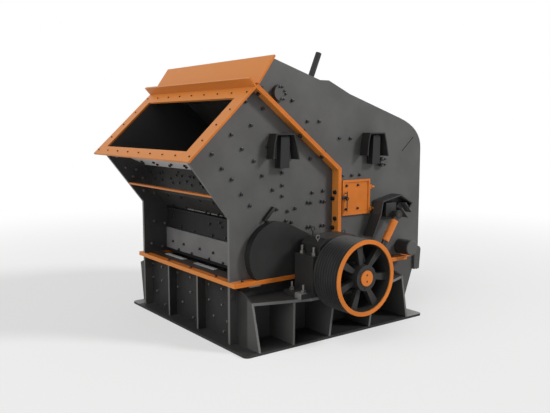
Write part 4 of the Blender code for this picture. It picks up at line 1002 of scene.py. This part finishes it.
class BearingGear(bpy.types.Operator):
    """Nuts, lifting eyes, a foot pad and end covers of each bearing"""

    bl_idname = "crusher.bearing_gear"
    bl_label = "Bearing gear"

    def execute(self, context):
        width = context.scene.crusher_sizes.bearing_nut
        for side, name in NAMES.items():
            nuts = []
            for end in (-1, 1):
                for offset in (-BEARING_BOLT_OFFSET, BEARING_BOLT_OFFSET):
                    x = side * (BEARING_X + offset)
                    nuts.append(at(x, SHAFT_Y + end * SHOULDER_BOLT_REACH, SHOULDER_Z))
                    nuts.append(at(x, SHAFT_Y + end * FOOT_BOLT_REACH, FOOT_TOP))
            bolts("bearing_nuts_" + name, width, facing(nuts, Z_AXIS), "frame", "nut", stud=STUD_LENGTH)
            self.eyes(side, name)
            self.cover(side, name)
        return {"FINISHED"}

    def eyes(self, side, name):
        for group, (finish, spots) in EYES.items():
            bm = bmesh.new()
            for x, y, foot, middle in spots:
                low, high = (at(side * x, y, z) for z in (foot - EYE_SUNK, middle - EYE_GAP))
                bar(bm, low, high, EYE_STEM, chamfer=0.001)
                ring(bm, at(side * x, y, middle), EYE_RADIUS, EYE_BAR)
            piece(f"bearing_{group}_eyes_{name}", bm, "frame", finish)
        (x, y, z), size = NUT_PAD
        pad = slab(bmesh.new(), at(side * x, y, z), size, bevel=0.004)
        piece("bearing_pad_" + name, pad, "frame", "grey")

    def cover(self, side, name):
        """Bolted end cover on the face towards the body, and on the left a thin cap on the outer face."""
        bm = bmesh.new()
        centre = at(side * COVER_FACE, SHAFT_Y, SHAFT_Z)
        ring_plate(bm, centre, COVER_HOLE, COVER_RADIUS, COVER_THICKNESS, -side)
        if side < 0:
            cap = at(side * END_CAP_FACE, SHAFT_Y, SHAFT_Z)
            ring_plate(bm, cap, 0.0, COVER_RADIUS, END_CAP_THICKNESS, side)
        spots = []
        for i in range(COVER_BOLTS):
            angle = math.tau * (i + 0.5) / COVER_BOLTS
            spots.append(centre + Vector((-side * COVER_THICKNESS, COVER_BOLT_CIRCLE * math.cos(angle),
                                          COVER_BOLT_CIRCLE * math.sin(angle))))
        piece("bearing_covers_" + name, bm, "frame", "black")
        bolts("bearing_cover_bolts_" + name, COVER_BOLT, facing(spots, (-side, 0, 0)), "frame")


DOOR_THICKNESS = 0.028
DOOR_RIM = 0.010  # height of its rim above its panel
DOOR_FACE = SIDE + SEAT_GAP + DOOR_THICKNESS
DOOR_PANEL = DOOR_FACE - DOOR_RIM
DOOR_BOLTS = ((1.59, 1.53), (1.76, 1.53), (1.58, 1.27), (1.76, 1.27))
LATCH = ((0.006, 1.545, 1.40), (0.012, 0.075, 0.036))  # middle, from the door's face, and size
LATCH_RING = ((0.016, 1.58, 1.388), 0.018, 0.005)  # middle, radius, and radius of its bar
HANDLE_Y = 1.565
HANDLE_Z = (1.27, 1.45)
HANDLE_STAND = 0.040
HANDLE_POST = 0.005
HANDLE_BAR = 0.0055
HANDLE_OVERHANG = 0.02
HANDLE_SUNK = 0.002
HANDLE_PAST = 0.005  # length of a post past the bar's middle
HINGE_LUG_Z = (1.25, 1.495)
HINGE_LUG_RADIUS = 0.015
HINGE_LUG_LENGTH = 0.034
HINGE_LUG_GAP = 0.004


class DoorGear(bpy.types.Operator):
    """Bolts, handle and latch of the inspection doors, and the hinge lugs behind them"""

    bl_idname = "crusher.door_gear"
    bl_label = "Door gear"

    def execute(self, context):
        for side, name in NAMES.items():
            body = name + "_door"
            places = beside(side, DOOR_PANEL, DOOR_BOLTS)
            bolts("door_bolts_" + name, context.scene.crusher_sizes.small_bolt, places, body)
            piece("door_handle_" + name, self.handle(side), body, "black")
            piece("door_latch_" + name, self.latch(side), body, "black")
            piece("door_hinge_lugs_" + name, self.lugs(side, "door_" + name), "housing", "orange")
        return {"FINISHED"}

    def handle(self, side):
        bm = bmesh.new()
        for z in HANDLE_Z:
            foot = at(side * (DOOR_PANEL - HANDLE_SUNK), HANDLE_Y, z)
            bar(bm, foot, at(side * (DOOR_PANEL + HANDLE_STAND + HANDLE_PAST), HANDLE_Y, z), HANDLE_POST)
        ends = (HANDLE_Z[0] - HANDLE_OVERHANG, HANDLE_Z[1] + HANDLE_OVERHANG)
        low, high = (at(side * (DOOR_PANEL + HANDLE_STAND), HANDLE_Y, z) for z in ends)
        return bar(bm, low, high, HANDLE_BAR)

    def latch(self, side):
        (x, y, z), size = LATCH
        bm = slab(bmesh.new(), at(side * (DOOR_FACE + x), y, z), size, bevel=0.003)
        (x, y, z), major, minor = LATCH_RING
        ring(bm, at(side * (DOOR_FACE + x), y, z), major, minor)
        return bm

    def lugs(self, side, door):
        """Short bars behind the knuckles of a door."""
        bm = bmesh.new()
        for z in HINGE_LUG_Z:
            start = at(side * (SIDE + HINGE_LUG_RADIUS), 0, z)
            start.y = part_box(door)[1].y + HINGE_LUG_GAP
            bar(bm, start, start + Vector((0, HINGE_LUG_LENGTH, 0)), HINGE_LUG_RADIUS, chamfer=0.003)
        return bm


BOSS_HEIGHT = 0.055
BOSS_FACE = SIDE + SEAT_GAP + BOSS_HEIGHT
BOSS_BOLTS = ((0.64, 2.57), (0.67, 2.57), (0.70, 2.53), (0.715, 2.50), (0.66, 2.45), (0.69, 2.45),
              (2.14, 1.81), (2.10, 1.80), (2.10, 1.755), (2.14, 1.745))
CASING_BAR = (Vector((0.470, 1.238)), Vector((0.592, 1.363)))  # ends of its middle line, y and z
CASING_BAR_SECTION = (0.044, 0.032)
CASING_BAR_BOLTS = ((0.515, 1.224), (0.639, 1.342))
LIFT_LUG_FACE = 1.1457
PIN_WASHER = (0.0223, 0.040, 0.005)  # radius of its hole, radius and thickness
PIN_BLOCK = ((0.058, 2.225, 1.225), (0.066, 0.17, 0.16))  # middle, from the side plate, and size
CHANNEL_RUN = Vector((0, 0.11, -0.12))
CHANNEL_MIDDLE = (0.085, 2.437, 1.207)  # from the side plate, y and z
CHANNEL_LENGTH = 0.165
CHANNEL_DEPTH = 0.11
CHANNEL_FLANGE = 0.010
CHANNEL_REACH = 0.042  # from its middle to each flange
CHANNEL_WEB = (0.012, CHANNEL_LENGTH, 0.078)
CHANNEL_WEB_BACK = 0.045  # from its middle towards the side plate
HOOD_LUG = (2.345, 1.158)
HOOD_LUG_RADIUS = 0.030
HOOD_LUG_LENGTH = 0.094


class SideGear(bpy.types.Operator):
    """Small pieces on the side plates: boss bolts, casing bar, and the gear under the lift hood"""

    bl_idname = "crusher.side_gear"
    bl_label = "Side gear"

    def execute(self, context):
        sizes = context.scene.crusher_sizes
        for side, name in NAMES.items():
            bolts("boss_bolts_" + name, sizes.boss_bolt, beside(side, BOSS_FACE, BOSS_BOLTS), "housing")
            piece("casing_bar_" + name, self.casing_bar(side), "frame", "casing")
            bar_bolts = beside(side, SIDE, CASING_BAR_BOLTS)
            bolts("casing_bar_bolts_" + name, sizes.small_bolt, bar_bolts, "frame")
            bm = bmesh.new()
            ring_plate(bm, at(side * LIFT_LUG_FACE, *LIFT_PIVOT), *PIN_WASHER, side, segments=24)
            piece("lift_pin_washer_" + name, bm, "housing", "dark")
            (x, y, z), size = PIN_BLOCK
            block = slab(bmesh.new(), at(side * (SIDE + x), y, z), size, bevel=0.006)
            piece("lift_pin_block_" + name, block, "housing", "dark")
            piece("lift_hood_channel_" + name, self.channel(side), "housing", "charcoal")
            foot = at(side * (SIDE + 0.001), *HOOD_LUG)
            end = foot + Vector((side * HOOD_LUG_LENGTH, 0, 0))
            lug = bar(bmesh.new(), foot, end, HOOD_LUG_RADIUS, sides=24, chamfer=0.003)
            piece("lift_hood_lug_" + name, lug, "housing", "charcoal")
        return {"FINISHED"}

    def casing_bar(self, side):
        """Slanted bar that holds the top of the casing to the side plate."""
        low, high = CASING_BAR
        run = high - low
        width, height = CASING_BAR_SECTION
        turn = Matrix.Rotation(math.atan2(run.y, run.x), 4, "X")
        centre = at(side * (SIDE + width / 2), *((low + high) / 2))
        return slab(bmesh.new(), centre, (width, run.length, height), turn, bevel=0.003)

    def channel(self, side):
        """Channel at the rear end of the hood over the upper lift pin."""
        run = CHANNEL_RUN.normalized()
        across = Vector((0, -run.z, run.y))
        turn = Matrix.Rotation(math.atan2(run.z, run.y), 4, "X")
        x, y, z = CHANNEL_MIDDLE
        middle = at(side * (SIDE + x), y, z)
        bm = bmesh.new()
        for reach in (-CHANNEL_REACH, CHANNEL_REACH):
            flange = (CHANNEL_DEPTH, CHANNEL_LENGTH, CHANNEL_FLANGE)
            slab(bm, middle + across * reach, flange, turn, bevel=0.002)
        back = middle - Vector((side * CHANNEL_WEB_BACK, 0, 0))
        return slab(bm, back, CHANNEL_WEB, turn, bevel=0.002)


REAR_Y = 2.80
REAR_BOLT_ROWS = (0.86, 1.12, 1.38, 1.64, 1.86)
REAR_BOLT_X = (-0.80, -0.48, -0.16, 0.16, 0.48, 0.80)
ROOF_LOW = Vector((0, 2.433, 2.273))
ROOF_HIGH = Vector((0, 1.639, 2.526))
ROOF_BOLT_ROWS = (0.12, 0.38, 0.64, 0.90)  # from the low end of the roof to the high one
ROOF_HEAD_RADIUS = 0.62  # flat round heads, as a share of the bolt's width
ROOF_HEAD = (-0.002, 0.0035)  # from the roof, and height
SEAM_X = 0.927
SEAM_ENDS_Z = (0.78, 1.90)


class ShellGear(bpy.types.Operator):
    """Liner bolts of the rear wall and the roof, and the seams of the shell"""

    bl_idname = "crusher.shell_gear"
    bl_label = "Shell gear"

    def execute(self, context):
        width = context.scene.crusher_sizes.plate_bolt
        wall = [at(x, REAR_Y, z) for z in REAR_BOLT_ROWS for x in REAR_BOLT_X]
        bolts("rear_wall_bolts", width, facing(wall, (0, 1, 0)), "housing")
        slope = (ROOF_LOW - ROOF_HIGH).normalized()
        roof = [at(x, *ROOF_LOW.lerp(ROOF_HIGH, part).yz) for part in ROOF_BOLT_ROWS for x in REAR_BOLT_X]
        heads = disc_up(bmesh.new(), 20, width * ROOF_HEAD_RADIUS, *ROOF_HEAD, chamfer=0.0012)
        piece("roof_bolts", spread(heads, facing(roof, (0, -slope.z, slope.y))), "housing", "bolt")
        bm = bmesh.new()
        size = context.scene.crusher_sizes.weld
        for side in NAMES:
            low, high = (at(side * (SEAM_X - size * 0.3), REAR_Y, z) for z in SEAM_ENDS_Z)
            bead(bm, low, high, size)
        piece("shell_seams", bm, "housing", "charcoal")
        return {"FINISHED"}


BUSH_SCREWS = 3
BUSH_SCREW_CIRCLE = 0.103
BUSH_SCREW_TURN = 0.4
BUSH_SCREW_RADIUS = 0.010
BUSH_SCREW_SUNK = 0.001
BUSH_SCREW_LENGTH = 0.006


class PulleyGear(bpy.types.Operator):
    """Screws of the taper bush in the pulley"""

    bl_idname = "crusher.pulley_gear"
    bl_label = "Pulley gear"

    def execute(self, context):
        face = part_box("pulley")[1].x
        bm = bmesh.new()
        for i in range(BUSH_SCREWS):
            angle = math.tau * i / BUSH_SCREWS + BUSH_SCREW_TURN
            spot = at(0, SHAFT_Y + BUSH_SCREW_CIRCLE * math.cos(angle),
                      SHAFT_Z + BUSH_SCREW_CIRCLE * math.sin(angle))
            spot.x = face - BUSH_SCREW_SUNK
            bar(bm, spot, spot + Vector((BUSH_SCREW_LENGTH, 0, 0)), BUSH_SCREW_RADIUS)
        piece("pulley_bush_screws", bm, "rotor", "bolt")
        return {"FINISHED"}


RIB_Y = (0.15, 0.56, 1.03, 1.60, 2.19)  # front faces of the ribs of a pedestal
RIB_THICKNESS = 0.025
PLATE_TOP = 0.0255
BEAD_FOOT = 0.03
SEAT_LOW = 0.458
SEAT_TOP = 0.49
GUSSET_TOP = 0.58
RIB_REACH = {1: 1.3455, -1: 1.1575}  # outer ends of the ribs' feet
WALL_RIB_HALF = 0.015
WALL_TOP = 0.605
SEAT_RUN = (0.18, 2.185)  # y of the two ends of a long bead
PLATE_RUN = (0.08, 2.46)
FOOT_RUNS = {"front": ("frame", 0.075, 1.39), "rear": ("housing", 1.445, 2.49)}


class Welds(bpy.types.Operator):
    """Weld beads along the ribs, the seats and the feet of the side plates"""

    bl_idname = "crusher.welds"
    bl_label = "Welds"

    def execute(self, context):
        size = context.scene.crusher_sizes.weld
        for side, name in NAMES.items():
            wall = side * SIDE
            piece("frame_welds_" + name, self.pedestal(side, wall, size), "frame", "black")
            for part, (body, start, end) in FOOT_RUNS.items():
                foot = bead(bmesh.new(), at(wall, start, FLANGE_TOP), at(wall, end, FLANGE_TOP), size)
                piece(f"{part}_foot_weld_{name}", foot, body, "charcoal")
        bm = bmesh.new()
        for x in (-SIDE / 3, SIDE / 3):
            for offset in (-WALL_RIB_HALF, WALL_RIB_HALF):
                for y in (PANEL_Y, REAR_PANEL_Y):
                    bead(bm, at(x + offset, y, BEAD_FOOT), at(x + offset, y, WALL_TOP), size)
        piece("bay_welds", bm, "frame", "black")
        return {"FINISHED"}

    def pedestal(self, side, wall, size):
        """Beads between a pedestal, the side plate and the base plate."""
        bm = bmesh.new()
        reach = side * RIB_REACH[side]
        edges = [y + offset for y in RIB_Y for offset in (0.0, RIB_THICKNESS)]
        for y in edges:
            top = GUSSET_TOP if y < RIB_Y[1] or y > RIB_Y[3] + RIB_THICKNESS else SEAT_LOW
            bead(bm, at(wall, y, BEAD_FOOT), at(wall, y, top), size)
            bead(bm, at(wall, y, PLATE_TOP), at(reach, y, PLATE_TOP), size)
        for height, run in ((SEAT_TOP, SEAT_RUN), (PLATE_TOP, PLATE_RUN)):
            bead(bm, at(wall, run[0], height), at(wall, run[1], height), size)
        return bm


class Finishes(bpy.types.Operator):
    """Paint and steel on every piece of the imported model"""

    bl_idname = "crusher.finishes"
    bl_label = "Finishes"

    def execute(self, context):
        make_finishes(context.scene.crusher_paints)
        for name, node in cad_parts.items():
            node.data.materials.clear()
            node.data.materials.append(FINISHES[finish_of(name)])
        return {"FINISHED"}


CAMERA_AZIMUTH = math.radians(53.39)
CAMERA_PITCH = math.radians(7.066)
CAMERA_FROM_PLATE = (5.0, -3.374)  # from the right front corner of the base plate
FLOOR_RADIUS = 60.0
SHADOW_LIFT = 0.55  # how much the shadow on the floor is lightened
FLOOR_FADE = (3.5, 11.0)  # where the floor turns into the white background
SUN = (134.0, 31.0, 12.0)  # azimuth, height and width of the key light, in degrees
FILL = (8.0, 43.0, 60.0)
WHITE = (1, 1, 1, 1)
GLOW_NEAR = 0.87  # glow of the floor near the machine, which is 1 far off


class Stage(bpy.types.Operator):
    """Camera, pale floor, white background and soft light"""

    bl_idname = "crusher.stage"
    bl_label = "Stage"

    def execute(self, context):
        studio = context.scene.crusher_studio
        self.camera(context, studio)
        self.floor(studio)
        self.lamp(context, "key_light", studio.sun_strength, SUN)
        self.lamp(context, "fill_light", studio.fill_strength, FILL)
        self.sky(context, studio)
        context.scene.view_settings.view_transform = "Standard"
        return {"FINISHED"}

    def camera(self, context, studio):
        camera = bpy.data.objects.new("camera", bpy.data.cameras.new("camera"))
        context.scene.collection.objects.link(camera)
        camera.data.sensor_width = 36.0
        camera.data.lens = studio.focal_length
        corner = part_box("base_plate")[1].x
        camera.location = (corner + CAMERA_FROM_PLATE[0], FRONT + CAMERA_FROM_PLATE[1], studio.camera_height)
        camera.rotation_euler = (math.pi / 2 - CAMERA_PITCH, 0, CAMERA_AZIMUTH)
        context.scene.camera = camera

    def floor(self, studio):
        bm = bmesh.new()
        bmesh.ops.create_circle(bm, cap_ends=True, segments=96, radius=FLOOR_RADIUS)
        mesh = bpy.data.meshes.new("floor")
        bm.to_mesh(mesh)
        bm.free()
        material, nodes, shader, place = new_material("studio_floor")
        shade = studio.floor_shade
        shader.inputs["Base Color"].default_value = (shade, shade, shade * 0.995, 1)
        shader.inputs["Roughness"].default_value = 0.9
        shader.inputs["Specular IOR Level"].default_value = 0.0
        far = vectors(nodes, "LENGTH", place, output="Value").between(*FLOOR_FADE)
        glow = far * (1.0 - GLOW_NEAR) + GLOW_NEAR
        white = nodes.node("ShaderNodeEmission", {"Color": WHITE, "Strength": glow})
        seen = nodes.node("ShaderNodeLightPath", {}, output="Is Camera Ray")
        mixed = nodes.node("ShaderNodeMixShader", {0: (far * (1.0 - SHADOW_LIFT) + SHADOW_LIFT) * seen,
                                                   2: white})
        nodes.tree.links.new(shader.outputs[0], mixed.socket.node.inputs[1])
        nodes.tree.links.new(mixed.socket, nodes.tree.nodes["Material Output"].inputs["Surface"])
        mesh.materials.append(material)
        floor = bpy.data.objects.new("floor", mesh)
        bpy.context.scene.collection.objects.link(floor)

    def lamp(self, context, name, strength, place):
        azimuth, height, width = (math.radians(angle) for angle in place)
        lamp = bpy.data.lights.new(name, "SUN")
        lamp.energy = strength
        lamp.angle = width
        lit = bpy.data.objects.new(name, lamp)
        lit.rotation_euler = (math.pi / 2 - height, 0, azimuth)
        context.scene.collection.objects.link(lit)

    def sky(self, context, studio):
        world = bpy.data.worlds.new("studio")
        world.use_nodes = True
        context.scene.world = world
        nodes = Signal(world.node_tree)
        camera, glossy, through = (nodes.node("ShaderNodeLightPath", {}, output=f"Is {ray} Ray")
                                   for ray in ("Camera", "Glossy", "Transmission"))
        seen = (camera + glossy + through).clamped()
        background = world.node_tree.nodes["Background"]
        background.inputs["Color"].default_value = WHITE
        nodes.feed(background.inputs["Strength"], seen * (1.0 - studio.sky_strength) + studio.sky_strength)


class CrusherPanel(bpy.types.Panel):
    """Steps that dress the crusher"""

    bl_label = "Impact crusher"
    bl_idname = "VIEW3D_PT_crusher"
    bl_space_type = "VIEW_3D"
    bl_region_type = "UI"
    bl_category = "Crusher"

    def draw(self, context):
        for step in STEPS:
            self.layout.operator(step.bl_idname)
        for group in (getattr(context.scene, name) for name in GROUPS):
            for name in group.bl_rna.properties.keys():
                if name not in ("rna_type", "name"):
                    self.layout.prop(group, name)


STEPS = (Stage, Finishes, PlateBolts, SplitBolts, FrameBolts, FrontWallBolts, PanelBolts, FlangeGear,
         BearingGear, DoorGear, SideGear, ShellGear, PulleyGear, Welds)
GROUPS = {"crusher_sizes": CrusherSizes, "crusher_paints": CrusherPaints, "crusher_studio": CrusherStudio}


def register():
    for group in (*GROUPS.values(), *STEPS, CrusherPanel):
        bpy.utils.register_class(group)
    for name, group in GROUPS.items():
        setattr(bpy.types.Scene, name, bpy.props.PointerProperty(type=group))


def unregister():
    for name in GROUPS:
        delattr(bpy.types.Scene, name)
    for group in (CrusherPanel, *reversed(STEPS), *reversed(GROUPS.values())):
        bpy.utils.unregister_class(group)


def main():
    register()
    for step in STEPS:
        getattr(bpy.ops.crusher, step.bl_idname.split(".")[1])()


if __name__ == "__main__":
    main()
